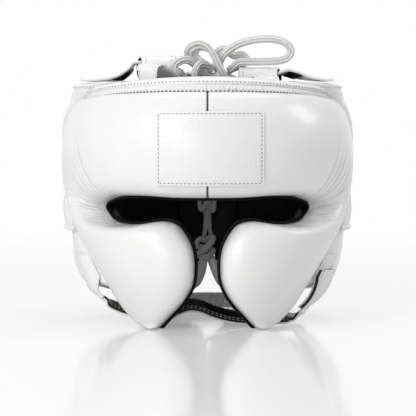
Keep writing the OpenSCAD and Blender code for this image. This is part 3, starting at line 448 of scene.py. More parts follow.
def flat_section(p, q, thick, lift, d, inset, turn):
    r = half_w(p[:, 1]) - ear_pad_t + thick
    span = np.hypot((q[:, 0] - p[:, 0]) * np.radians(r), q[:, 1] - p[:, 1])
    cut = (inset / np.maximum(span, 5 * leather_t))[:, None]
    v = 0.5 - (0.5 - cut) * np.cos(turn)[None, :]
    v = np.hstack([cut, v, 1 - cut])
    line = p[:, None, :] + (q - p)[:, None, :] * v[..., None]
    grid = head(line[..., 0], line[..., 1], lift[:, None] + d)
    grid[..., 2] = np.maximum(grid[..., 2], inset)
    return grid


def even_turn(n):
    """Angles over a crown, closer together at its two ends."""
    return np.pi / 2 * (1 - np.cos(np.linspace(0, np.pi, n)))


def mirrored(grid, word):
    return grid * (-1, 1, 1) if word == "left" else grid


black_leather = Finish("black_leather", (0.006, 0.006, 0.007), 0.34, Specular_IOR_Level=0.14)
soft_folds = black_leather.noise(38, 3, 0.55)
grain = black_leather.noise(700, 2)
black_leather.bump(soft_folds * 2.2 + grain * 0.25, 0.0012)
black_leather.feed("Roughness", black_leather.noise(60, 2) * 0.25 + 0.26)
black_leather.tint(soft_folds, (0.003, 0.003, 0.003), (0.011, 0.011, 0.012))

rows_fine = np.linspace(0, line_end, 200)
front_p, front_q = through(face_line, rows_fine), through(back_line, rows_fine)
for word in ("left", "right"):
    lift = tip_lift * tip_share(rows_fine)
    outer, inner = (
        flat_section(front_p, front_q, front_t(rows_fine), lift, d, 0.0, even_turn(30)) for d in (lining_t, 0)
    )
    for grid in (outer, inner):
        grid[..., 0] = np.maximum(grid[..., 0], seam_gap / 4)
        grid[..., 2] = np.maximum(grid[..., 2], 0.8)
    solid = np.concatenate([mirrored(g, word).reshape(-1, 3) for g in (outer, inner)])
    made = piece("face_lining_" + word, solid, closed_faces(*outer.shape[:2]), black_leather,
                 ["front_lining_" + word])

# Foam cores: three moulded blocks of grey polyurethane foam, one across the forehead and one in
# each cheek. They give the padding its crown and are glued between lining and cover.
foam = Finish("grey_foam", (0.33, 0.33, 0.34), 0.9)
cells = foam.node("TexVoronoi", None, {"Vector": foam.place(), "Scale": 900})
foam.bump(cells, 0.0006)
foam.tint(foam.noise(400, 3), (0.27, 0.27, 0.28), (0.38, 0.38, 0.39))
foam_inset, foam_d = leather_t + layer_gap + 0.75, base_d + 0.2
front_wall, band_wall = 5, 20


def front_walls(k, extra):
    outer = np.interp(k, [0, 3, 5, 5.5, 6.5, 8, 9, 18, 22], [band_wall, band_wall, 27, 29, 29, 16, 12, 12, 6])
    return np.full_like(k, front_wall - extra), outer - extra


def front_rows(k, inset, extra, turn, foot=0.0):
    lift = tip_lift * tip_share(k)
    return cross_section(through(face_line, k), through(back_line, k), front_t(k), lift, inset, turn,
                         front_walls(k, extra), foot, 0.45 * np.exp(-(((k - 7.7) / 2.1) ** 2))[:, None])


def foam_core(name, k, both_sides):
    turn = even_turn(26)
    inset = foam_inset + 0.25 * both_sides
    up = front_rows(k, inset, 2.2 if both_sides else 1.5, turn, 1.0)[0]
    low = flat_section(through(face_line, k), through(back_line, k), front_t(k), tip_lift * tip_share(k),
                       foam_d, inset, turn)
    if both_sides:
        up, low = (np.concatenate([g[:0:-1] * (-1, 1, 1), g]) for g in (up, low))
    else:
        up, low = mirrored(up, name.split("_")[-1]), mirrored(low, name.split("_")[-1])
    solid = np.concatenate([up.reshape(-1, 3), low.reshape(-1, 3)])
    made = piece(name + "_core", solid, closed_faces(*up.shape[:2]), foam, [name])


foam_join = 8
foam_core("forehead_foam", np.linspace(0, foam_join, 60), True)
for word in ("left", "right"):
    foam_core("cheek_foam_" + word, np.linspace(foam_join + 0.12, line_end - 0.1, 80), False)


# Front covers: two halves of white cowhide drawn over the foam and sewn together down the forehead.
# The leather bunches where it turns round the ends of the eye slot, in a fan of fine wrinkles whose grooves are
# darkened with painted shade.
def cowhide(name, colour, roughness, low=0.93, crease_shade=0.0):
    hide = Finish(name, colour, roughness, Specular_IOR_Level=0.4, Coat_Weight=0.5, Coat_Roughness=0.17)
    pores = hide.node("TexVoronoi", {"feature": "SMOOTH_F1"}, {"Vector": hide.place(), "Scale": 1150, "Smoothness": 0.6})
    hide.bump(pores * 0.35 + hide.noise(420, 4, 0.6) * 0.5 + hide.noise(55, 2) * 1.1, 0.00042)
    cloudy = hide.noise(22, 4, 0.6)
    shade = tuple(c * low for c in colour)
    # The last argument darkens the colour where the "along" UV's u is high: painted shade in the wrinkles' grooves.
    if crease_shade:
        crease_shade_share = hide.node("SeparateXYZ", None, {0: hide.node("UVMap", {"uv_map": "along"})})
        clear = hide.node("Mix", {"data_type": "RGBA"}, {0: cloudy, 6: (*shade, 1), 7: (*colour, 1)}, out=2)
        crease_shade_colour = tuple(c * (1 - crease_shade) for c in colour)
        hide.feed("Base Color", hide.node("Mix", {"data_type": "RGBA"}, {0: crease_shade_share, 6: clear, 7: (*crease_shade_colour, 1)}, out=2))
    else:
        hide.tint(cloudy, shade, colour)
    hide.feed("Roughness", hide.noise(120, 3) * 0.12 + (roughness - 0.06))
    return hide


# Its last argument, 0.8, is how much painted shade darkens the wrinkles' grooves.
white_leather = cowhide("white_leather", (0.85, 0.85, 0.845), 0.34, 0.965, 0.8)
wrinkles = np.random.default_rng(11)


def marks(spots, jitter, width, start, reach, deep, drift):
    """Wrinkles at spots along the slot's edge; the pairs are the least and the most of each size in mm."""
    return [
        (spot + wrinkles.uniform(-jitter, jitter), wrinkles.uniform(*width), wrinkles.uniform(*start),
         wrinkles.uniform(*reach), wrinkles.uniform(*deep), wrinkles.uniform(-drift, drift))
        for spot in spots
    ]


creases = {
    "left": marks(np.linspace(5.9, 11.4, 13), 0.13, (0.4, 0.55), (0.5, 3), (14, 25), (1.1, 2.0), 0.006)
    + marks(np.linspace(4.4, 6.8, 9), 0.15, (0.7, 1.1), (9, 14), (40, 64), (0.5, 0.9), 0.002),
    "right": marks(np.linspace(6.4, 9.9, 12), 0.07, (0.45, 0.6), (0.5, 2), (17, 25), (1.1, 1.8), 0.004)
    + marks(np.linspace(10.1, 11.6, 6), 0.1, (0.4, 0.6), (1, 3), (20, 32), (0.8, 1.4), 0.003)
    + marks(np.linspace(4.6, 7.6, 15), 0.1, (0.55, 0.85), (7, 14), (36, 70), (0.7, 1.2), 0.002),
}


def fan(k, away, pace, lines):
    """Heights of wrinkles that run out from the eye slot; pace is the distance that one k spans."""
    height = np.zeros_like(away)
    for middle, width, start, reach, deep, drift in lines:
        off = (k - middle - drift * away) * pace / (width * (1 + away / 50))
        fade = np.clip((away - start) / 2.5, 0, 1) * np.exp(-((np.maximum(0, away) / reach) ** 4))
        height -= deep * (np.exp(-(off**2)) - 0.55 * np.exp(-((off / 2.2) ** 2))) * fade
    return height


seam_k = [0, 0.012, 0.025, 0.04, 0.055, 0.07, 0.09, 0.12, 0.16, 0.22]
cover_k = np.concatenate([seam_k, np.linspace(0.3, 4.2, 42), np.linspace(4.23, 11.6, 266), np.linspace(11.65, line_end, 88)])
front_grid, face_edge, back_edge = front_rows(cover_k, 0.0, 0.0, even_turn(120))
front_grid = eased(front_grid, 2)
front_out = normals(front_grid)
k_here = np.broadcast_to(cover_k[:, None], face_edge.shape)
steps = np.linalg.norm(np.diff(front_grid, axis=1), axis=-1)
away = np.concatenate([np.zeros((len(cover_k), 1)), np.cumsum(steps, 1)], 1) - 7.5
k_pace = np.linalg.norm(np.gradient(front_grid, cover_k, axis=0), axis=-1)
from_seam = np.abs(front_grid[..., 0])
groove_w, groove_deep = 1.7, 1.5
groove = groove_deep * np.maximum(0, 1 - from_seam / groove_w) ** 2 * (k_here < 2)


def skin(name, grid, thick, finish, replaces, crease_shade_depth=None):
    """A sheet of leather with its thickness on the inside; the last argument gives how deep each point lies in a
    crease, 0 to 1, and darkens the colour there as painted shade.
    """
    inner = grid - normals(grid) * thick
    inner[..., 2] = np.maximum(inner[..., 2], 0.3)
    solid = np.concatenate([grid.reshape(-1, 3), inner.reshape(-1, 3)])
    crease_shade_depth = np.zeros(grid.shape[:2]) if crease_shade_depth is None else crease_shade_depth
    uv = np.stack([np.concatenate([crease_shade_depth.ravel(), 0 * crease_shade_depth.ravel()]), np.zeros(2 * crease_shade_depth.size)], -1)
    return piece(name, solid, closed_faces(*grid.shape[:2]), finish, replaces, uv)


for word in ("left", "right"):
    relief = fan(k_here, away, k_pace, creases[word]) - groove
    shaped = front_grid + front_out * relief[..., None]
    shaped[..., 0] = np.maximum(shaped[..., 0], 0.12)
    shaped[..., 2] = np.maximum(shaped[..., 2], 0.7)
    # Painted shade: the colour darkens with the depth of each wrinkle's groove.
    crease_shade_depth = np.clip(-relief / 0.8, 0, 1) ** 1.3
    made = skin("front_pad_" + word, mirrored(shaped, word), leather_t * 0.8, white_leather, ["front_cover_" + word],
                crease_shade_depth=crease_shade_depth)

# Face binding: one black leather tape folded over the edge of the face opening and sewn through,
# so that its edge swells a little between the stitches.
black_binding = Finish("black_binding", (0.004, 0.004, 0.004), 0.5, Specular_IOR_Level=0.06, Coat_Weight=0.05, Coat_Roughness=0.12)
black_binding.bump(black_binding.noise(900, 3), 0.0003)
black_binding.tint(black_binding.noise(200, 2), (0.002, 0.002, 0.002), (0.007, 0.007, 0.007))
binding_t, binding_d = 1.6, 8


def line_side(line, k):
    """The direction square to a line drawn on the head, as shares of width and height."""
    before, after = through(line, np.maximum(0, k - 0.1)), through(line, np.minimum(len(line) - 1, k + 0.1))
    r = half_w(before[..., 1]) - ear_pad_t
    along = unit(np.stack([(after[..., 0] - before[..., 0]) * np.radians(r), after[..., 1] - before[..., 1]], -1))
    return np.stack([along[..., 1], -along[..., 0]], -1)


def beside(line, k, out, d):
    p, n = through(line, k), line_side(line, k)
    r = half_w(p[:, 1]) - ear_pad_t + d
    point = head(p[:, 0] + n[:, 0] * np.degrees(out / r), p[:, 1] + n[:, 1] * out, d)
    point[:, 2] = np.maximum(point[:, 2], 0.6)
    return point


binding_k = np.linspace(0, line_end - 0.02, 900)
binding_lift = tip_lift * tip_share(binding_k)
edge_run = run_of(head(*through(face_line, binding_k).T, base_d + front_wall))
scallop_pitch = 3.4
binding_depth = binding_d * np.interp(binding_k, [14.5, 19.5], [1, 0.4])
scallop = 0.22 * np.abs(np.sin(np.pi * edge_run / scallop_pitch))
profile = [(0.1, 0.0), (0.55, -0.2), (0.95, 0.3), (1.0, 1.5), (1.0, 3), (1.0, 4.8), (1.05, 6.2), (1.0, 7.3),
           (0.75, 8.1), (0.4, 8.5), (0.1, 8.3), (-0.15, 7.6), (0.0, 6), (0.0, 3.5), (0.0, 1.5)]
binding_rings = np.stack([
    beside(face_line, binding_k, layer_gap + 0.2 + max(0, share) * (binding_t + scallop * (depth > 5)) + min(0, share),
           binding_lift + 0.2 + depth * binding_depth / 8.3)
    for share, depth in profile
], 1)
binding_rings = np.concatenate([binding_rings[:0:-1] * (-1, 1, 1), binding_rings])
piece("slot_binding", binding_rings, ring_faces(len(binding_rings), len(profile)), black_binding, ["face_binding"])


# Stitches: each row is waxed thread in short lengths that dip into the leather at both ends.
def thread_finish(name, colour):
    thread = Finish(name, colour, 0.55)
    thread.bump(thread.noise(2500, 2), 0.0001)
    thread.tint(thread.noise(500, 2), tuple(c * 0.75 for c in colour), colour)
    return thread


# The first two thread colours are the pale grey thread darkened with painted shade that stands in for the shadows of
# the stitch holes; the second, for the band's lower row, is darkened more.
grey_thread_with_hole_shade = thread_finish("grey_thread_with_hole_shade", (0.30, 0.295, 0.285))
grey_thread_with_deeper_hole_shade = thread_finish("grey_thread_with_deeper_hole_shade", (0.16, 0.155, 0.15))
tan_thread = thread_finish("tan_thread", (0.76, 0.69, 0.58))


def stitches(name, line, out, pitch, length, thick, finish, body="guard", slot="white_lace", sink=0.25):
    """A row of stitches along a line of points, with the direction out of the leather at each."""
    run = run_of(line)
    count = max(1, int(run[-1] // pitch))
    middles = (np.arange(count) + 0.5) * run[-1] / count
    points, faces = [], []
    shares = [(-1, 0.3, -0.8), (-0.75, 0.8, -0.15), (-0.3, 1, 0.25), (0.3, 1, 0.25), (0.75, 0.8, -0.15), (1, 0.3, -0.8)]
    turn = np.linspace(0, 2 * np.pi, 7)[:-1]
    for m in middles:
        def at(distance, what):
            return np.array([np.interp(distance, run, what[:, c]) for c in range(3)])
        way = unit(at(m + 0.3, line) - at(m - 0.3, line))
        up = unit(at(m, out) - way * (at(m, out) @ way))
        across = np.cross(way, up)
        base = at(m, line) - up * sink * thick
        first = len(points)
        for s, fat, rise in shares:
            middle = base + way * s * length / 2 + up * rise * thick / 2
            for a in turn:
                points.append(middle + (across * np.cos(a) * 1.15 + up * np.sin(a)) * fat * thick / 2)
        faces += ring_faces(len(shares), 6, first)
    return piece(name, np.array(points), faces, finish, body=body)


# Top band: a leather band folded over the top edge of the forehead pad, with a rolled lip, a seam
# under it and a gathered lower half. Two rows of stitches hold it, grey above and darker below, both darkened with
# painted shade for the stitch holes.
top_reach = np.linspace(-band_reach, band_reach, 620)
band_spread = 0.26
low_reach = np.abs(top_reach) * (1 + band_spread)
band_low = np.interp(low_reach, [p[0] for p in back_line[:7]], [p[1] for p in back_line[:7]]) + seam_gap + 0.4
band_low = band_low + 0.08 * np.maximum(0, low_reach - 58) - 0.9 - np.interp(low_reach, [35, 60], [0, 1.1])
band_high = np.maximum(band_low + 3.5, shell_h - 4.5 * (np.abs(top_reach) / 56) ** 2)
band_swell = np.interp(low_reach, [47, 75, 81.5], [0, 27 - band_wall, 29 - band_wall])
outline = [
    # share of the height, distance out from the head
    (0.0, 19.8), (0.04, 20.3), (0.12, 20.6), (0.22, 20.8), (0.33, 20.9), (0.42, 20.8), (0.47, 20.3), (0.5, 19.9),
    (0.53, 20.9), (0.58, 21.5), (0.66, 21.7), (0.75, 21.5), (0.84, 20.9), (0.92, 19.6), (0.97, 17.8), (1.0, 15.0),
    (1.0, 12), (1.0, 9), (0.93, 6), (0.8, 3), (0.62, 1.2), (0.45, 0.5), (0.2, 0.3), (0.0, 0.3), (0.0, 6), (0.0, 13),
]
outline = [tuple(p) for p in through(outline[:8], np.linspace(0, 7, 29))] + outline[8:]
arc = np.radians(top_reach) * 112
gather_share = 0.15 + 0.85 * np.exp(-(((top_reach - 10) / 7) ** 2)) + 0.45 * np.exp(-(((top_reach + 14) / 10) ** 2))
ripple = np.random.default_rng(5).normal(0, 1, 90)
gather_pitch, gather_slant = 2.6, 1.4
band_rings = []
for share, d in outline:
    height = band_low + share * (band_high - band_low)
    bump = np.zeros_like(arc)
    if share < 0.48 and d > 18:
        phase = arc / gather_pitch - share / 0.48 * gather_slant + 0.35 * np.interp(arc, np.linspace(-120, 120, 90), ripple)
        bump = 1.5 * gather_share * (np.abs(np.sin(np.pi * phase)) - 0.6) * math.sin(math.pi * share / 0.48)
        bump = bump - 0.9 * np.exp(-((arc / 0.8) ** 2))
    if d > 21:
        bump = bump + 0.08 * np.interp(arc, np.linspace(-120, 120, 90), ripple)
    swollen = d - 0.6 + bump + band_swell * min(1, d / 15)
    band_rings.append(head(top_reach * (1 + band_spread * (1 - share)), height, swollen))
band_rings = np.stack(band_rings, 1)
piece("forehead_band", band_rings, ring_faces(*band_rings.shape[:2]), white_leather, ["top_band"])


def band_line(share, d, reach=0.985):
    keep = np.abs(top_reach) < band_reach * reach
    height = (band_low + share * (band_high - band_low))[keep]
    a, off = (top_reach * (1 + band_spread * (1 - share)))[keep], d + band_swell[keep]
    here, out = head(a, height, off), head(a, height, off + 1)
    return here, unit(out - here)


stitches("band_stitches_upper", *band_line(0.66, 21.2), 3.2, 1.8, 0.75, grey_thread_with_hole_shade)
lower_line, lower_out = band_line(0.0, 20.8)
stitches("band_stitches_lower", lower_line + (0, 0, 0.7), lower_out, 3.2, 1.5, 1.1, grey_thread_with_deeper_hole_shade, sink=0.0)

# Patch: a bare, raised piece of the same leather sewn flat over the forehead seam, with a row of
# grey stitches just inside its edge.
patch_w, patch_h, patch_z, patch_x, patch_t, patch_corner = 80, 56, 138.5, 2, 1.4, 2.2
patch_leather = cowhide("patch_leather", (0.83, 0.83, 0.825), 0.4, 0.975)


def brow_d(z):
    v = (z - brow_z) / (band_low_z - brow_z)
    side = base_d + front_wall * (1 - v) + band_wall * v
    return side + (front_t(np.zeros(1))[0] - side) * (2 * np.sqrt(np.maximum(0, v * (1 - v)))) ** 0.6


def on_brow(x, z, off):
    d = brow_d(z)
    return head(np.degrees(np.arcsin(x / (half_w(z) - ear_pad_t + d))), z, d + off)


def patch_edge(inset, t):
    """Half the patch's width at a share t of its height, with rounded corners."""
    h, r = patch_h / 2 - inset, max(0.4, patch_corner - inset)
    past = np.maximum(0, np.abs(t) * h - (h - r))
    return patch_w / 2 - inset - r + np.sqrt(np.maximum(0, r * r - past * past))


def patch_grid(off, inset):
    ease = np.sin(np.linspace(-np.pi / 2, np.pi / 2, 110))
    rise = np.sin(np.linspace(-np.pi / 2, np.pi / 2, 80))
    s, t = np.meshgrid(ease, rise, indexing="ij")
    x, z = s * patch_edge(inset, t), t * (patch_h / 2 - inset)
    from_edge = np.minimum(patch_w / 2 - inset - np.abs(x), patch_h / 2 - inset - np.abs(z))
    sunk = 0.35 * np.exp(-(((from_edge - stitch_inset) / 0.6) ** 2))
    soft = 0.3 * np.maximum(0, 1 - from_edge / 0.8) ** 2
    return on_brow(x + patch_x, z + patch_z, seam_gap + off - (sunk + soft) * (off > 1))


stitch_inset = 1.9
patch_top, patch_under = patch_grid(patch_t, 0), patch_grid(layer_gap, 0.1)
patch_solid = np.concatenate([patch_top.reshape(-1, 3), patch_under.reshape(-1, 3)])
piece("brow_patch", patch_solid, closed_faces(110, 80), patch_leather, ["forehead_patch"])
w, h = patch_w / 2 - stitch_inset, patch_h / 2 - stitch_inset
corners = [(-w, -h), (w, -h), (w, h), (-w, h), (-w, -h)]
for n, word in enumerate(("bottom", "right", "top", "left")):
    (x0, z0), (x1, z1) = corners[n], corners[n + 1]
    share = np.linspace(0, 1, 60)
    x, z = x0 + (x1 - x0) * share + patch_x, z0 + (z1 - z0) * share + patch_z
    line, above = on_brow(x, z, seam_gap + patch_t - 0.25), on_brow(x, z, seam_gap + patch_t + 1)
    stitches("patch_stitches_" + word, line, unit(above - line), 3.05, 1.9, 0.62, grey_thread_with_hole_shade, sink=0.0)

# Ear pads: white leather over foam behind the front pads, lined in black. A round hole through the
# pad lets the wearer hear; its edge is turned in and bound.
ear_seam, ear_low_z, ear_hole_r, ear_hole_y, ear_hole_z = 126, 22, 13, 16, 100
ear_first, ear_last, ear_wall, neck_wall = 4, 16, 5, 4
ear_line = [
    (ear_seam - 7, pad_top_z), (ear_seam - 3, 171), (ear_seam - 1, 154), (ear_seam, 136), (ear_seam, 119),
    (ear_seam, 105), (ear_seam, 92), (ear_seam, 80), (ear_seam, 68), (ear_seam - 1, 57), (ear_seam - 2, 46),
    (ear_seam - 4, 35), (ear_seam - 6, ear_low_z),
]


def behind(line, k, gap):
    p, n = through(line, k), line_side(line, k)
    return np.stack([p[..., 0] - n[..., 0] * np.degrees(gap / half_w(p[..., 1])), p[..., 1] - n[..., 1] * gap], -1)


def ear_front(k):
    top, notch = np.array([band_reach + 2.5, pad_top_z]), np.array([1.22 * band_reach, pad_top_z - 15])
    rest = behind(back_line, np.maximum(k, 6.0), seam_gap)
    rest[..., 1] -= 1.2 * np.maximum(0, k - 13)
    rest = np.where((k < 6)[..., None], notch + (rest - notch) * (k - 5)[..., None], rest)
    return np.where((k < 5)[..., None], top + (notch - top) * (k - ear_first)[..., None], rest)


def ear_back(k):
    return through(ear_line, k - ear_first)


def rolled(k, near, low):
    """Share of the full thickness near the two ends of a pad, where its leather rolls over."""
    first = np.clip((k - ear_first) / near, 0, 1)
    last = np.clip((ear_last - k) / low, 0, 1)
    return np.sqrt(1 - (1 - first) ** 4) * np.sqrt(1 - (1 - last) ** 3.4)


def ear_t(k):
    spots = [4, 4.3, 4.8, 5.2, 6, 6.7, 7.4, 8, 8.7, 12, 14, 15, 16]
    tall = [40, 39, 36.8, 38.5, 40.5, 41.5, 40.5, 38, 36, 36, 37.5, 36.2, 34.5]
    return 9 + (np.mean([np.interp(k + e, spots, tall) for e in (-0.2, -0.1, 0, 0.1, 0.2)], 0) - 9) * rolled(k, 0.2, 1.0)


def pad_grid(from_line, to_line, k, thick, inset, wall, turn):
    walls = [np.full_like(k, wall)] * 2
    return cross_section(from_line(k), to_line(k), thick(k), np.zeros_like(k), inset, turn, walls)


def hemmed(grid, out, height, wide=1.1, deep=0.8, at=()):
    """Presses seams into a pad at the given heights."""
    sunk = sum(np.exp(-(((grid[..., 2] - z) / wide) ** 2)) for z in at)
    return grid - out * (deep * sunk)[..., None]


def rumple(grid, out, tall, size, seed):
    """Soft wrinkles in a pad's leather, drawn out along its height."""
    rng = np.random.default_rng(seed)
    swell = np.zeros(grid.shape[:2])
    for _ in range(26):
        way, start = rng.uniform(-1, 1, 3) * (1, 1, 0.45), rng.uniform(0, 6.3)
        swell += np.sin(grid @ (way * 2 * np.pi / (size * rng.uniform(0.7, 1.8))) + start)
    return grid + out * (tall * swell / 5)[..., None]


def bored(made, radius, word):
    """Cuts the ear hole through a piece."""
    cutter = bpy.data.meshes.new("cutter")
    work = bmesh.new()
    bmesh.ops.create_cone(work, cap_ends=True, segments=96, radius1=radius * MM, radius2=radius * MM, depth=0.12)
    work.to_mesh(cutter)
    work.free()
    drill = bpy.data.objects.new("cutter", cutter)
    bpy.context.collection.objects.link(drill)
    drill.rotation_euler = (0, math.pi / 2, 0)
    drill.location = Vector(((-95 if word == "left" else 95), ear_hole_y + centre_shift, ear_hole_z)) * MM
    cut = made.modifiers.new("hole", "BOOLEAN")
    cut.object, cut.operation, cut.solver = drill, "DIFFERENCE", "EXACT"
    bpy.context.view_layer.update()
    mesh = bpy.data.meshes.new_from_object(made.evaluated_get(bpy.context.evaluated_depsgraph_get()))
    made.modifiers.clear()
    made.data = mesh
    mesh.name = made.name
    bpy.data.objects.remove(drill)
    return made


ear_k = ear_first + 12 * (0.5 - 0.5 * np.cos(np.linspace(0, np.pi, 230)))
ear_cover_grid = eased(pad_grid(ear_front, ear_back, ear_k, ear_t, 0.0, ear_wall, even_turn(90))[0], 6)
ear_out = normals(ear_cover_grid)
ear_cover_grid = hemmed(ear_cover_grid, ear_out, 0, at=(184.0,))
calm = np.clip((190 - ear_cover_grid[..., 2]) / 20, 0, 1) * 0.25 + np.clip((75 - ear_cover_grid[..., 2]) / 25, 0, 1) * 0.75
hem_z = 186.2
hem_cols = range(3, 60)
hem_row = np.array([[np.interp(-hem_z, -ear_cover_grid[:, j, 2], what[:, j, c]) for c in range(3)]
                    for what in (ear_cover_grid, ear_out) for j in hem_cols]).reshape(2, -1, 3)
for word in ("left", "right"):
    stitches("ear_hem_" + word, mirrored(hem_row[0], word), mirrored(hem_row[1], word), 3.2, 1.8, 0.7, grey_thread_with_hole_shade)
    shaped = rumple(ear_cover_grid, ear_out, 0.42 * calm, 15, 3 if word == "left" else 8)
    shaped = mirrored(shaped, word)
    made = skin("ear_pad_" + word, shaped, leather_t * 0.8, white_leather, ["ear_cover_" + word])
    bored(made, ear_hole_r - 0.3, word)
    core = pad_grid(ear_front, ear_back, np.linspace(4.12, 15.75, 70), ear_t, foam_inset, ear_wall - 1.5, even_turn(26))[0]
    k = np.linspace(4.12, 15.75, 70)
    low = flat_section(ear_front(k), ear_back(k), ear_t(k), np.zeros_like(k), foam_d, foam_inset, even_turn(26))
    solid = np.concatenate([mirrored(g, word).reshape(-1, 3) for g in (core, low)])
    made = piece("ear_foam_core_" + word, solid, closed_faces(*core.shape[:2]), foam, ["ear_foam_" + word])
    bored(made, ear_hole_r + leather_t, word)
    k = np.linspace(4, 16, 90)
    sheets = [flat_section(ear_front(k), ear_back(k), ear_t(k), np.zeros_like(k), d, 0.0, even_turn(24)) for d in (lining_t, 0)]
    solid = np.concatenate([mirrored(g, word).reshape(-1, 3) for g in sheets])
    made = piece("inner_ear_" + word, solid, closed_faces(*sheets[0].shape[:2]), black_leather,
                 ["ear_lining_" + word])
    bored(made, ear_hole_r - 0.3, word)

# Ear hole walls: a ring of the same leather turned in through the pad, rolled over the cover's edge.
# Each ring of points stands where a ray along the hole meets the cover.
from mathutils.bvhtree import BVHTree

for word in ("left", "right"):
    cover = bpy.data.objects["ear_pad_" + word]
    tree = BVHTree.FromPolygons([v.co for v in cover.data.vertices], [f.vertices for f in cover.data.polygons])
    way = -1 if word == "left" else 1
    turn = np.linspace(0, 2 * np.pi, 72, endpoint=False)
    rings = []
    for radius, lift, share in [(14.6, -0.5, 0), (14.4, 0.5, 0), (13.7, 1.0, 0), (12.9, 0.8, 0), (12.5, 0.1, 0),
                                (12.4, -2, 0), (12.4, 0, 0.5), (12.4, 0, 1), (12.6, 0.5, 1.03), (13.6, 0.6, 1.03),
                                (13.7, 0, 1), (13.3, 0, 0.5), (13.2, -2.5, 0), (13.4, -1.2, 0)]:
        y, z = ear_hole_y + centre_shift + radius * np.cos(turn), ear_hole_z + radius * np.sin(turn)
        outer = []
        for angle in turn:
            from_y = ear_hole_y + centre_shift + 15.2 * math.cos(angle)
            from_z = ear_hole_z + 15.2 * math.sin(angle)
            hit = tree.ray_cast(Vector((way * 0.2, from_y * MM, from_z * MM)), Vector((-way, 0, 0)))[0]
            outer.append(abs(hit.x) / MM)
        inner = half_w(ear_hole_z) - ear_pad_t + 0.2 - 0.003 * (ear_hole_y + radius * np.cos(turn)) ** 2
        x = (np.array(outer) + lift) * (1 - share) + (inner - lift) * share
        rings.append(np.stack([way * x, y, z], -1))
    rings = np.stack(rings, 1)
    count, cols = rings.shape[:2]
    faces = [
        (i * cols + j, (i + 1) % count * cols + j, (i + 1) % count * cols + (j + 1) % cols, i * cols + (j + 1) % cols)
        for i in range(count) for j in range(cols)
    ]
    piece("ear_hole_wall_" + word, rings, faces, white_leather)

# Ear strips: a leather strip sewn down the outside of each ear pad, with its lower end rolled.


def ear_surf(k, v, off):
    k, v = np.broadcast_arrays(np.asarray(k, float), np.asarray(v, float))
    line = ear_front(k) + (ear_back(k) - ear_front(k)) * v[..., None]
    side = base_d + ear_wall
    d = side + (ear_t(k) - side) * (2 * np.sqrt(np.maximum(0, v * (1 - v)))) ** 0.6
    return head(line[..., 0], line[..., 1], d + off)


def edge_steps(n):
    """Shares from 0 to 1 that lie closer together at both ends."""
    return 0.5 - 0.5 * np.cos(np.linspace(0, np.pi, n))


def from_border(grid):
    """How far each point of a grid lies from the grid's border."""
    def both(axis):
        step = np.linalg.norm(np.diff(grid, axis=axis), axis=-1)
        zero = np.zeros_like(np.take(step, [0], axis))
        run = np.concatenate([zero, np.cumsum(step, axis)], axis)
        return np.minimum(run, np.take(run, [-1], axis) - run)
    return np.minimum(both(0), both(1))


def square_to(grid, guide):
    """Directions square to a grid, on the side of a guide direction."""
    out = unit(np.cross(np.gradient(grid, axis=0), np.gradient(grid, axis=1)))
    return out * np.where((out @ np.asarray(guide, float)) < 0, -1, 1).mean().round().clip(-1, 1) if (
        abs((out @ np.asarray(guide, float)).mean()) > 0.05) else out


def sheet(name, middle, thick, finish, nodes=(), body="guard", guide=(0, 0, 1), puff=0.0, seam_at=0.0):
    """A sheet of leather about a grid of points, with rounded edges and seams sunk near its sides."""
    out = square_to(middle, guide)
    far = from_border(middle)
    round_off = np.sqrt(np.clip(1 - (1 - np.minimum(1, far / (thick / 2))) ** 2, 0.12, 1))
    sunk = 0.22 * np.exp(-(((far - seam_at) / 0.7) ** 2)) if seam_at else 0
    swell = puff * np.minimum(1, far / 5) ** 0.7
    up = middle + out * (thick / 2 * round_off + swell - sunk)[..., None]
    low = middle - out * (thick / 2 * round_off - (sunk if seam_at else 0))[..., None]
    solid = np.concatenate([up.reshape(-1, 3), low.reshape(-1, 3)])
    made = piece(name, solid, closed_faces(*middle.shape[:2]), finish, nodes, body=body)
    return up, out


def inside_line(grid, out, inset, side):
    """A line over a grid at a distance from one of its long sides, with the directions out of it."""
    rows = grid if side > 0 else grid[:, ::-1]
    ways_out = out if side > 0 else out[:, ::-1]
    line, above = [], []
    for row, normal in zip(rows, ways_out):
        run = run_of(row)
        line.append([np.interp(inset, run, row[:, c]) for c in range(3)])
        above.append([np.interp(inset, run, normal[:, c]) for c in range(3)])
    return np.array(line), unit(np.array(above))


def sewn_sides(name, grid, out, inset, finish, body="guard", pitch=3.1, length=1.9, thick=0.55, sides=(1, -1), trim=0.03):
    for n, side in enumerate(sides):
        line, above = inside_line(grid, out, inset, side)
        keep = slice(int(len(line) * trim), max(2, int(len(line) * (1 - trim))))
        stitches(f"{name}_{n + 1}", line[keep], above[keep], pitch, length, thick, finish, body=body)


tab_w, tab_t, strip_off = 22, 2.4, 1.35
strip_spots = [(8.95, 0.045), (9.4, 0.07), (9.8, 0.11), (10.3, 0.15), (10.8, 0.175), (11.3, 0.19)]
strip_dv = tab_w / 206
for word in ("left", "right"):
    k, v = through(strip_spots, np.linspace(0, 5, 60)).T
    low_v = np.maximum(0.015, v - strip_dv)
    share = edge_steps(26)
    across = low_v[:, None] + (v + strip_dv - low_v)[:, None] * share
    middle = mirrored(ear_surf(k[:, None], across, strip_off + tab_t / 2), word)
    up, out = sheet("ear_strip_leather_" + word, middle, tab_t, white_leather,
                    guide=(-1 if word == "left" else 1, 0, 0), puff=0.35, seam_at=2.4)
    sewn_sides("ear_strip_stitches_" + word, up, out, 2.4, grey_thread_with_hole_shade, trim=0.06)
    roll = mirrored(ear_surf(11.3, across[-1], strip_off + 0.95 * tab_t), word)
    rings = lace_rings(roll, 1.7 * tab_t, 1.7 * tab_t, 24, 1, 0.0, (0.3, 0.9, 0.2))
    piece("ear_strip_roll_" + word, rings, ring_faces(len(roll), 24), white_leather, ["ear_strip_" + word])

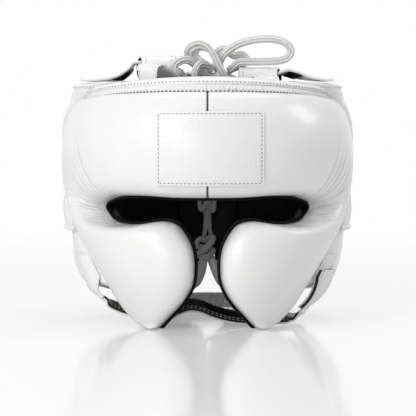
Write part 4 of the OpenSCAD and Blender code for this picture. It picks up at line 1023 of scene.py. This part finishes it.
# Neck pads: two softer pads from the ear pads round to the gap at the back, covered, filled and
# lined like the others.
neck_gap, tongue_w, tongue_t = 7, 52, 2.4
neck_a = 180 - math.degrees(math.asin(neck_gap / (half_w(100) - ear_pad_t + back_pad_t)))
neck_line = [(neck_a, pad_top_z - 14)] + [(neck_a, z) for z in (161, 147, 132, 117, 103, 90, 77, 64)]
neck_line += [(neck_a - 0.5, 50), (neck_a - 3, 34), (neck_a - 8, 17), (neck_a - 18, -1)]


def neck_from(k):
    return through(ear_line, k - ear_first) + (math.degrees(seam_gap / 110), 0)


def neck_to(k):
    return through(neck_line, k - ear_first)


def neck_t(k):
    share = (k - ear_first) / (ear_last - ear_first)
    return 8 + (back_pad_t - 8) * np.maximum(0, 4 * share * (1 - share)) ** 0.3


neck_k = ear_first + 12 * edge_steps(190)
neck_grid = eased(pad_grid(neck_from, neck_to, neck_k, neck_t, 0.0, neck_wall, even_turn(80))[0], 4)
neck_out = normals(neck_grid)
for word in ("left", "right"):
    shaped = rumple(neck_grid, neck_out, 0.2, 24, 5 if word == "left" else 6)
    shaped[..., 2] = np.maximum(shaped[..., 2], 0.2)
    made = skin("neck_pad_" + word, mirrored(shaped, word), leather_t * 0.8, white_leather, ["neck_cover_" + word])
    k = np.linspace(4.15, 15.8, 70)
    core = pad_grid(neck_from, neck_to, k, neck_t, foam_inset, neck_wall - 1.5, even_turn(24))[0]
    low = flat_section(neck_from(k), neck_to(k), neck_t(k), np.zeros_like(k), foam_d, foam_inset, even_turn(24))
    solid = np.concatenate([mirrored(g, word).reshape(-1, 3) for g in (core, low)])
    made = piece("neck_foam_core_" + word, solid, closed_faces(*core.shape[:2]), foam, ["neck_foam_" + word])
    sheets = [flat_section(neck_from(k), neck_to(k), neck_t(k), np.zeros_like(k), d, 0.0, even_turn(24)) for d in (lining_t, 0)]
    solid = np.concatenate([mirrored(g, word).reshape(-1, 3) for g in sheets])
    piece("inner_neck_" + word, solid, closed_faces(*sheets[0].shape[:2]), black_leather, ["neck_lining_" + word])

# Tongue: a lined black strip inside the gap between the two neck pads, with a seam down its middle.
inside_d = -layer_gap - 0.65
tongue_d = inside_d - 0.5
tongue_a = math.degrees(math.asin(tongue_w / 2 / (half_w(100) - ear_pad_t)))
z = pad_top_z - 24 + (48 - pad_top_z + 24) * edge_steps(80)
a = 180 + tongue_a * (1 - 2 * edge_steps(40))
middle = head(a[None, :], z[:, None], tongue_d - tongue_t / 2)
sheet("gap_tongue", middle, tongue_t, black_leather, ["neck_tongue"], guide=(0, -1, 0), seam_at=3.0)

# Neck band and tabs: a soft folded leather band inside the lower ends of the neck pads, and two
# pointed leather tabs that the neck lace draws together.
neck_band_h, neck_band_t, neck_tab_w, neck_tab_t = 13, 5, 11, 2.6
band_a = [157, 162, 167, 172, 177, 182, 187, 192, 197, 203]
band_d = [0.4, 1.6, 0.5, 2, 0.6, 1.7, 0.3, 2.1, 0.6, 0.4]
s_band = np.linspace(0, 9, 110)
a, fold_d = through(np.array([band_a, band_d], float).T, s_band).T
across = 2 * edge_steps(30) - 1
pleats = 1.5 * np.sin(s_band[:, None] * 5.2 + across[None, :] * 2.6) * (1 - across[None, :] ** 2)
deep = inside_d - neck_band_t / 2 - 0.4 - fold_d[:, None] + pleats
middle = head(a[:, None], neck_band_h / 2 * (1 + 0.93 * across[None, :]), deep)
sheet("lower_neck_band", middle, neck_band_t - 1, white_leather, ["neck_band"], guide=(0, -1, 0))
neck_tab = {
    "left": [(1.8, 47.5), (3.6, 40.5), (5.2, 34), (7.6, 28), (11.2, 22.5), (16, 18.5)],
    "right": [(0.6, 47.5), (3.4, 40.5), (6.4, 34.5), (9.6, 28.5), (13, 23.5), (17, 19)],
}
for word in ("left", "right"):
    s_tab = np.linspace(0, 5, 60)
    x, z = through(neck_tab[word], s_tab).T
    width = neck_tab_w * np.interp(s_tab, range(6), [0.55, 0.66, 0.78, 0.9, 1, 0.9])
    path = head(180 - np.degrees(np.arcsin(x / (half_w(z) - ear_pad_t))), z, inside_d - neck_tab_t / 2 - 0.7)
    side = np.array([1, 0, 0.3])
    side = unit(side - ways(path) * (ways(path) @ side)[:, None])
    middle = path[:, None] + side[:, None] * (width[:, None] / 2 * (2 * edge_steps(22) - 1))[..., None]
    sheet("lower_tab_" + word, mirrored(middle, word), neck_tab_t, white_leather, ["neck_tab_" + word],
          guide=(0, -1, 0), puff=0.2)

# Crown straps and tabs: on each side one leather strap from the ear pad and one tab from under the
# top band meet at a lace sleeve. They are sewn along their edges.
crown_w, crown_t, sleeve_r, sleeve_wall, sleeve_len, sleeve_x, sleeve_y = 34, 2.8, 10, 1.8, 27, 25, 24
sleeve_z = {"left": 201, "right": 192}
crown_stations = {
    # share of the way in, share of the way up, arch, lean, share of the width
    "left": [(0, 0, 0, 0, 1), (0.14, 0, 0, 0, 1), (0.3, 0, 0.2, 0, 0.95), (0.46, 0, 0.5, -0.04, 0.88),
             (0.62, 0.14, 0.5, -0.1, 0.78), (0.78, 0.55, 0.3, -0.12, 0.58), (0.88, 0.97, 0.4, -0.04, 0.4),
             (1, 1.04, 0, 0, 0.34), (1.12, 0.93, 0, 0, 0.32)],
    "right": [(0, 0, 0, 0, 1), (0.14, 0, 0.2, 0, 1), (0.3, 0, 0.9, -0.03, 0.95), (0.46, 0.05, 2, -0.08, 0.88),
              (0.62, 0.2, 3.6, -0.16, 0.78), (0.76, 0.6, 3.7, -0.18, 0.58), (0.88, 0.95, 1.6, -0.12, 0.4),
              (1, 1, 0, 0, 0.34), (1.12, 0.93, 0, 0, 0.32)],
}


def strap_grid(path, sides, widths, off=0.0, rows=90, cols=30, held=np.inf):
    """A grid over a strap: its path and widths made smooth, with more points near its edges. Its sides
    are square to the path up to the point held, and as given past it."""
    s_fine = (len(path) - 1) * edge_steps(rows)
    fine = through(path, s_fine)
    side = through(np.array(sides, float), s_fine)
    way = unit(np.gradient(fine, axis=0))
    lean = np.clip(held - s_fine, 0, 1) * (way * side).sum(1)
    side = unit(side - way * lean[:, None])
    width = np.interp(s_fine, range(len(path)), np.broadcast_to(widths, len(path)))
    up = np.cross(side, way)
    return fine[:, None] + side[:, None] * (width[:, None] / 2 * (1 - 2 * edge_steps(cols)))[..., None] + up[:, None] * off


for word in ("left", "right"):
    z, top_z, end_x = sleeve_z[word], pad_top_z + 2.1, sleeve_x + sleeve_len
    out_x = half_w(185) - 8
    path = np.array([
        (out_x + (end_x + 1 - out_x) * a, -sleeve_y + (1 - min(1, a)) * 9 + centre_shift, top_z + (z + 3.9 - top_z) * b + arch)
        for a, b, arch, _, _ in crown_stations[word]
    ])
    sides = [(0, 1, lean) for _, _, _, lean, _ in crown_stations[word]]
    middle = mirrored(strap_grid(path, sides, [crown_w * share for *_, share in crown_stations[word]]), word)
    up, out = sheet("crown_strap_leather_" + word, middle, crown_t, white_leather,
                    ["crown_strap_" + word], seam_at=2.2)
    sewn_sides("crown_strap_stitches_" + word, up, out, 2.2, grey_thread_with_hole_shade)
    sheet("crown_strap_lining_" + word, (middle - out * (crown_t / 2 + 0.3))[41:55, 1:-1], 0.6, black_leather)
    deep, last = -layer_gap - crown_t / 2 - 1.6, -sleeve_y - sleeve_r - 0.8
    path = [head(46, h, deep) for h in (173, 181, 188)]
    path += [np.array(p) + (0, centre_shift, 0) for p in [(46.5, -57, z - 2.5), (45.5, -53, z + 0.5), (44.5, -45, z + 2), (44, last, z + 2)]]
    sides = [(0.66, 0.75, 0)] * 3 + [(0.8, 0.6, 0), (0.9, 0.4, 0), (1, 0.1, 0), (1, 0, 0)]
    middle = mirrored(strap_grid(np.array(path), sides, 19), word)
    up, out = sheet("crown_tab_leather_" + word, middle, crown_t, white_leather, ["crown_tab_" + word], seam_at=2.2)
    sewn_sides("crown_tab_stitches_" + word, up, out, 2.2, grey_thread_with_hole_shade)

# Lace sleeves: a leather tube on each side of the crown, lined in black, through which the lace
# runs. Each end is turned back and hemmed, and the outer end is cut at a slant that opens forward.
sleeve_slant = {"left": (0, 4.5), "right": (3, 4)}


def slanted(x, turn, word):
    longer, slant = sleeve_slant[word]
    share = np.clip((x[:, None] - sleeve_x) / sleeve_len, 0, 1.02)
    return x[:, None] + share * longer + share**4 * slant * (0.5 + 0.5 * np.cos(turn)) ** 1.5


for word in ("left", "right"):
    stations = sleeve_x + sleeve_len * edge_steps(60)
    turn = np.linspace(0, 2 * np.pi, 72, endpoint=False)
    hem = np.minimum(stations - sleeve_x, sleeve_x + sleeve_len - stations)
    radius = sleeve_r - 0.25 * np.exp(-(((hem - 3.2) / 0.7) ** 2)) - 0.5 * np.maximum(0, 1 - hem / 0.8) ** 2
    tube = []
    for shell in (radius, np.full(60, sleeve_r - sleeve_wall + 0.5)[::-1]):
        x = stations if shell is radius else stations[::-1]
        crumple = 1 + 0.012 * np.sin(3 * turn[None, :] + x[:, None] * 0.35) + 0.008 * np.sin(7 * turn[None, :] - x[:, None] * 0.5)
        y, z = np.cos(turn) * shell[:, None] * crumple, np.sin(turn) * shell[:, None] * crumple
        tube.append(np.stack([slanted(x, turn, word), y - sleeve_y + centre_shift, z + sleeve_z[word]], -1))
    rings = mirrored(np.concatenate(tube), word)
    count, cols = rings.shape[:2]
    faces = [
        (i * cols + j, (i + 1) % count * cols + j, (i + 1) % count * cols + (j + 1) % cols, i * cols + (j + 1) % cols)
        for i in range(count) for j in range(cols)
    ]
    piece("sleeve_leather_" + word, rings, faces, white_leather, ["lace_sleeve_" + word])
    x = sleeve_x - 0.2 + (sleeve_len + 0.4) * edge_steps(40)
    inner = []
    for r in (sleeve_r - sleeve_wall + 0.45, sleeve_r - sleeve_wall - 0.35):
        x = x[::-1]
        y, z = np.cos(turn) * r * np.ones((40, 1)), np.sin(turn) * r * np.ones((40, 1))
        inner.append(np.stack([slanted(x, turn, word), y - sleeve_y + centre_shift, z + sleeve_z[word]], -1))
    rings = mirrored(np.concatenate(inner), word)
    piece("sleeve_lining_" + word, rings, [tuple(i % (80 * cols) for i in f) for f in (
        (i * cols + j, (i + 1) % 80 * cols + j, (i + 1) % 80 * cols + (j + 1) % cols, i * cols + (j + 1) % cols)
        for i in range(80) for j in range(cols))], black_leather)
    for n, at_x in enumerate((sleeve_x + 3.2, sleeve_x + sleeve_len - 3.2)):
        ring_turn = np.linspace(-0.5 * np.pi, 1.5 * np.pi, 90)
        way_out = np.stack([0 * ring_turn, np.cos(ring_turn), np.sin(ring_turn)], -1)
        line = way_out * (sleeve_r - 0.2) + (at_x, -sleeve_y + centre_shift, sleeve_z[word])
        stitches(f"sleeve_stitches_{word}_{n + 1}", mirrored(line, word), mirrored(way_out, word), 2.8, 1.7, 0.5, grey_thread_with_hole_shade)

# Rear crown strap: a wide leather strap from inside the neck gap up and forward to the crown lace.
back_pull = back_reach / 122
rear_z = [(168, 0.0085), (176, 0.0085), (184, 0.0085), (190, 0.006), (194.3, 0.004), (196.5, 0.002), (197.5, 0), (197.5, 0), (196, 0)]
rear_y = [head(180, z, inside_d - crown_t - 0.5)[1] - centre_shift for z in (168, 176, 184)]
rear_y += [y * back_pull for y in (74.5, 62, 46, 30, 14, 0)]
rear_lean = [(1, 0), (1, 0.1), (0.95, 0.3), (0.7, 0.7), (0.35, 0.93), (0.1, 1), (0, 1), (0, 1), (0, 1)]
rear_wide = [42 * w for w in (1.2, 1.15, 1.05, 1, 0.95, 0.9, 0.85, 0.75, 0.62)]
s_fine = 8 * edge_steps(110)
table = np.array([(z, bow, y, ly, lz, w) for (z, bow), y, (ly, lz), w in zip(rear_z, rear_y, rear_lean, rear_wide)])
z, bow, y, lean_y, lean_z, w = through(table, s_fine).T
x = w[:, None] / 2 * (2 * edge_steps(40) - 1)
middle = np.stack([x, (y + lean_y * crown_t / 2 + centre_shift)[:, None] - bow[:, None] * x**2,
                   (z + lean_z * crown_t / 2)[:, None] + 0 * x], -1)
up, out = sheet("rear_strap_leather", middle, crown_t, white_leather, ["rear_crown_strap"], seam_at=2.4)
sewn_sides("rear_strap_stitches", up, out, 2.4, grey_thread_with_hole_shade)

# Strap roots: leather sewn on the ear pads' lower corners. The left one ends in the chin strap's
# sewn fold; the right one carries the loop tape.
strap_w, strap_leather_t, strap_lining_t, tape_t, strap_gap, fold_r = 34, 1.4, 1.2, 0.9, 0.3, 1.6
root_v, root_dv, root_bulge, strap_turn, strap_mid = 0.1, 0.0625, 3, math.radians(12), -22
left_fold, anchor_end = np.array([92.3, 22.0]), np.array([80.3, 14.0])
end_dir, left_dir = np.array([0.8, -0.6]), np.array([0.707, -0.707])


def turned(u, w, z):
    c, sn = math.cos(strap_turn), math.sin(strap_turn)
    u, w, z = np.broadcast_arrays(*(np.asarray(q, float) for q in (u, w, z)))
    return np.stack([u * c + w * sn, w * c - u * sn + centre_shift, z], -1)


def root_grid(first, at, way, off, rows=70, cols=30):
    share = edge_steps(cols)
    v = root_v - root_dv + 2 * root_dv * share
    on_pad = np.linspace(first, 15, 18)
    rows_on = ear_surf(on_pad[:, None], v[None, :], strap_gap + off)
    start, end = rows_on[-1], turned(at[0] + way[0] * off, strap_mid - strap_w / 2 + strap_w * share, at[1] + way[1] * off)
    t = np.linspace(0, 1, 30)[1:, None, None]
    free = start + (end - start) * t + np.array([0.8, 0, -0.6]) * root_bulge * 4 * t * (1 - t)
    grid = np.concatenate([rows_on, free])
    run = np.concatenate([[0], np.cumsum(np.linalg.norm(np.diff(grid[:, cols // 2], axis=0), axis=1))])
    spots = np.interp(run[-1] * edge_steps(rows), run, np.arange(len(grid)))
    return eased(through(grid.reshape(len(grid), -1), spots).reshape(rows, cols, 3), 4)


def fold_roll(name, at, finish, word, body="guard"):
    line = turned(at[0], strap_mid + strap_w / 2 * (2 * edge_steps(24) - 1), at[1])
    rings = lace_rings(mirrored(line, word), 2 * fold_r, 2 * fold_r, 24, 1, 0.0, (0.3, 0.9, 0.2))
    return piece(name, rings, ring_faces(24, 24), finish, body=body)


at = left_fold - left_dir * strap_leather_t / 2
middle = mirrored(root_grid(13.3, at, left_dir, strap_leather_t / 2), "left")
up, out = sheet("root_leather_left", middle, strap_leather_t, white_leather, ["strap_root_left"],
                guide=(-1, 0, -0.3), puff=0.25, seam_at=2.4)
sewn_sides("root_stitches_left", up, out, 2.4, tan_thread)
fold_roll("root_fold_left", left_fold, white_leather, "left")
middle = root_grid(13.3, anchor_end, end_dir, strap_leather_t / 2)
up, out = sheet("anchor_leather", middle, strap_leather_t, white_leather, ["strap_anchor_right"],
                guide=(1, 0, -0.3), seam_at=2.4)
sewn_sides("anchor_stitches", up, out, 2.4, tan_thread)

# Hook-and-loop closure: black loop tape on the anchor, and hook tape under the stitched leather
# flap that closes the chin strap on it.
velcro = Finish("black_tape", (0.014, 0.014, 0.015), 0.95, Sheen_Weight=0.25)
velcro.bump(velcro.noise(1800, 2) + velcro.noise(600, 2) * 0.5, 0.0006)
velcro.tint(velcro.noise(900, 2), (0.008, 0.008, 0.009), (0.03, 0.03, 0.032))
loop_off = strap_leather_t + 0.1
hook_off = loop_off + tape_t + strap_gap
flap_off = hook_off + tape_t + 0.1
for name, off, node, body in (("loop_side", loop_off, "loop_tape", "guard"), ("hook_side", hook_off, "hook_tape", "closure_flap")):
    middle = root_grid(14.5, anchor_end, end_dir, off + tape_t / 2)
    sheet(name, middle, tape_t, velcro, [node], body=body, guide=(1, 0, -0.3))
middle = root_grid(14.5, anchor_end, end_dir, flap_off + strap_leather_t / 2)
up, out = sheet("flap_leather", middle, strap_leather_t, white_leather, ["closure_flap"],
                body="closure_flap", guide=(1, 0, -0.3), puff=0.2, seam_at=2.4)
sewn_sides("flap_stitches", up, out, 2.4, grey_thread_with_hole_shade, body="closure_flap")

# Chin strap: white leather below and glossy black lining above, sewn together with two rows of
# tan thread. It hangs from the left fold and ends in a fold under the closure flap.
strap_black = Finish("strap_black", (0.006, 0.006, 0.007), 0.3, Specular_IOR_Level=0.12, Coat_Weight=0.18, Coat_Roughness=0.1)
strap_black.bump(strap_black.noise(60, 3) * 1.5 + strap_black.noise(700, 2) * 0.2, 0.0009)
strap_black.tint(strap_black.noise(80, 2), (0.004, 0.004, 0.004), (0.012, 0.012, 0.013))
strap_path = np.array([
    (-83.9, -40.3, 21.2), (-81, -39.7, 18.2), (-77, -39.5, 15), (-71, -39.5, 12.3), (-63, -40.5, 10.5), (-52, -44, 9),
    (-40, -49, 7.8), (-31, -53, 8.5), (-22, -53, 12.5), (-13.5, -53, 15), (-5, -53, 13.8), (3, -53, 10.5),
    (12, -53, 7.6), (22, -53, 5.6), (34, -52, 4.8), (46, -49, 4.6), (56, -44.5, 4.5), (64, -41, 4.2),
    (69, -39.2, 4.2), (72.2, -38, 5.6), (74.6, -38.4, 8.8),
]) + (0, centre_shift, 0)
tilts = [0, 0, 0.03, 0.06, 0.1, 0.13] + [0.15] * 9 + [0.13, 0.1, 0.05, 0.02, 0, 0]
end_side = (-math.sin(strap_turn), -math.cos(strap_turn), 0)
front_side = (1,)
strap_sides = [(-end_side[0], end_side[1], 0)] * 2 + [(0, -1, -t) for t in tilts[2:-3]] + [(-0.1, -1, -0.02)]
strap_sides += [end_side] * 2
strap_held = 17
right_fold = anchor_end + end_dir * (flap_off + strap_leather_t / 2) - np.array([0.6, 0.8]) * (fold_r + strap_gap)
top = right_fold - end_dir * strap_leather_t / 2
leather_path = np.vstack([strap_path, turned(top[0], strap_mid, top[1])])
middle = strap_grid(leather_path, strap_sides + [end_side], strap_w, -strap_leather_t / 2, rows=220, held=strap_held)
sheet("strap_leather", middle, strap_leather_t, white_leather, ["chin_strap_leather"], body="chin_strap", seam_at=2.6)
fold_roll("strap_fold", right_fold, white_leather, "right", body="chin_strap")
middle = strap_grid(strap_path, strap_sides, strap_w - 1, layer_gap + strap_lining_t / 2, rows=220, held=strap_held)
up, out = sheet("strap_lining", middle, strap_lining_t, strap_black, ["chin_strap_lining"], body="chin_strap",
                puff=0.25, seam_at=2.6)
for n, inset in enumerate((2.6, 7.5)):
    sewn_sides(f"strap_stitches_{n}", up, out, inset, tan_thread, body="chin_strap", pitch=3.4, length=2.9, thick=0.85, sides=front_side)
sewn_sides("strap_stitches_rear", up, out, 2.6, tan_thread, body="chin_strap", pitch=3.4, length=2.4, thick=0.6, sides=(-front_side[0],))

# Studio: a glossy white floor that fades into a white surround, a large soft lamp high on the left,
# a weaker one on the right and a bright world for the reflections.
floor_white = Finish("floor_white", (0.9, 0.9, 0.9), 0.1, Specular_IOR_Level=0.5)
from_middle = floor_white.node("VectorMath", {"operation": "LENGTH"}, {0: floor_white.place()}, out=1)
fade = {0: from_middle, 1: 0.3, 2: 1.3, 3: 0.3, 4: 1.0}
faded = floor_white.node("MapRange", {"interpolation_type": "SMOOTHSTEP"}, fade)
seen = floor_white.node("LightPath") * faded
glow = floor_white.node("Emission", None, {"Color": (1, 1, 1, 1), "Strength": 1.0})
mixed = floor_white.node("MixShader", None, {0: seen, 1: Wire(floor_white.tree, floor_white.skin.outputs[0]), 2: glow})
floor_white.tree.links.new(mixed.socket, floor_white.tree.nodes["Material Output"].inputs["Surface"])
ground = bpy.data.meshes.new("floor")
span = 6.0
ground.from_pydata([(-span, -span, 0), (span, -span, 0), (span, span, 0), (-span, span, 0)], [], [(0, 1, 2, 3)])
ground.materials.append(floor_white.material)
floor = bpy.data.objects.new("floor", ground)
bpy.context.collection.objects.link(floor)


def softbox(name, where, size, watts, target=(0, 0, 0.09)):
    lamp = bpy.data.lights.new(name, "AREA")
    lamp.shape, lamp.size, lamp.size_y, lamp.energy = "RECTANGLE", size[0], size[1], watts
    held = bpy.data.objects.new(name, lamp)
    held.location = where
    held.rotation_euler = (Vector(target) - Vector(where)).to_track_quat("-Z", "Y").to_euler()
    bpy.context.collection.objects.link(held)


softbox("key", (-0.85, -1.15, 0.78), (0.7, 0.7), 10.5)
softbox("side", (1.07, 0.1, 0.8), (0.4, 0.4), 2.5)
softbox("fill", (-0.45, -1.45, 0.3), (0.6, 0.6), 2.6)
softbox("top", (0.1, 0.25, 1.4), (1.2, 0.9), 6.5)
world = bpy.data.worlds.new("studio")
bpy.context.scene.world = world
world.use_nodes = True
sky = world.node_tree
dim, bright = sky.nodes["Background"], sky.nodes.new("ShaderNodeBackground")
dim.inputs["Color"].default_value, dim.inputs["Strength"].default_value = (1, 1, 1, 1), 0.38
bright.inputs["Color"].default_value, bright.inputs["Strength"].default_value = (1, 1, 1, 1), 1.0
rays, pick, seen = sky.nodes.new("ShaderNodeLightPath"), sky.nodes.new("ShaderNodeMixShader"), sky.nodes.new("ShaderNodeMath")
seen.operation = "MAXIMUM"
sky.links.new(rays.outputs["Is Camera Ray"], seen.inputs[0])
sky.links.new(rays.outputs["Is Glossy Ray"], seen.inputs[1])
sky.links.new(seen.outputs[0], pick.inputs[0])
sky.links.new(dim.outputs[0], pick.inputs[1])
sky.links.new(bright.outputs[0], pick.inputs[2])
sky.links.new(pick.outputs[0], sky.nodes["World Output"].inputs["Surface"])
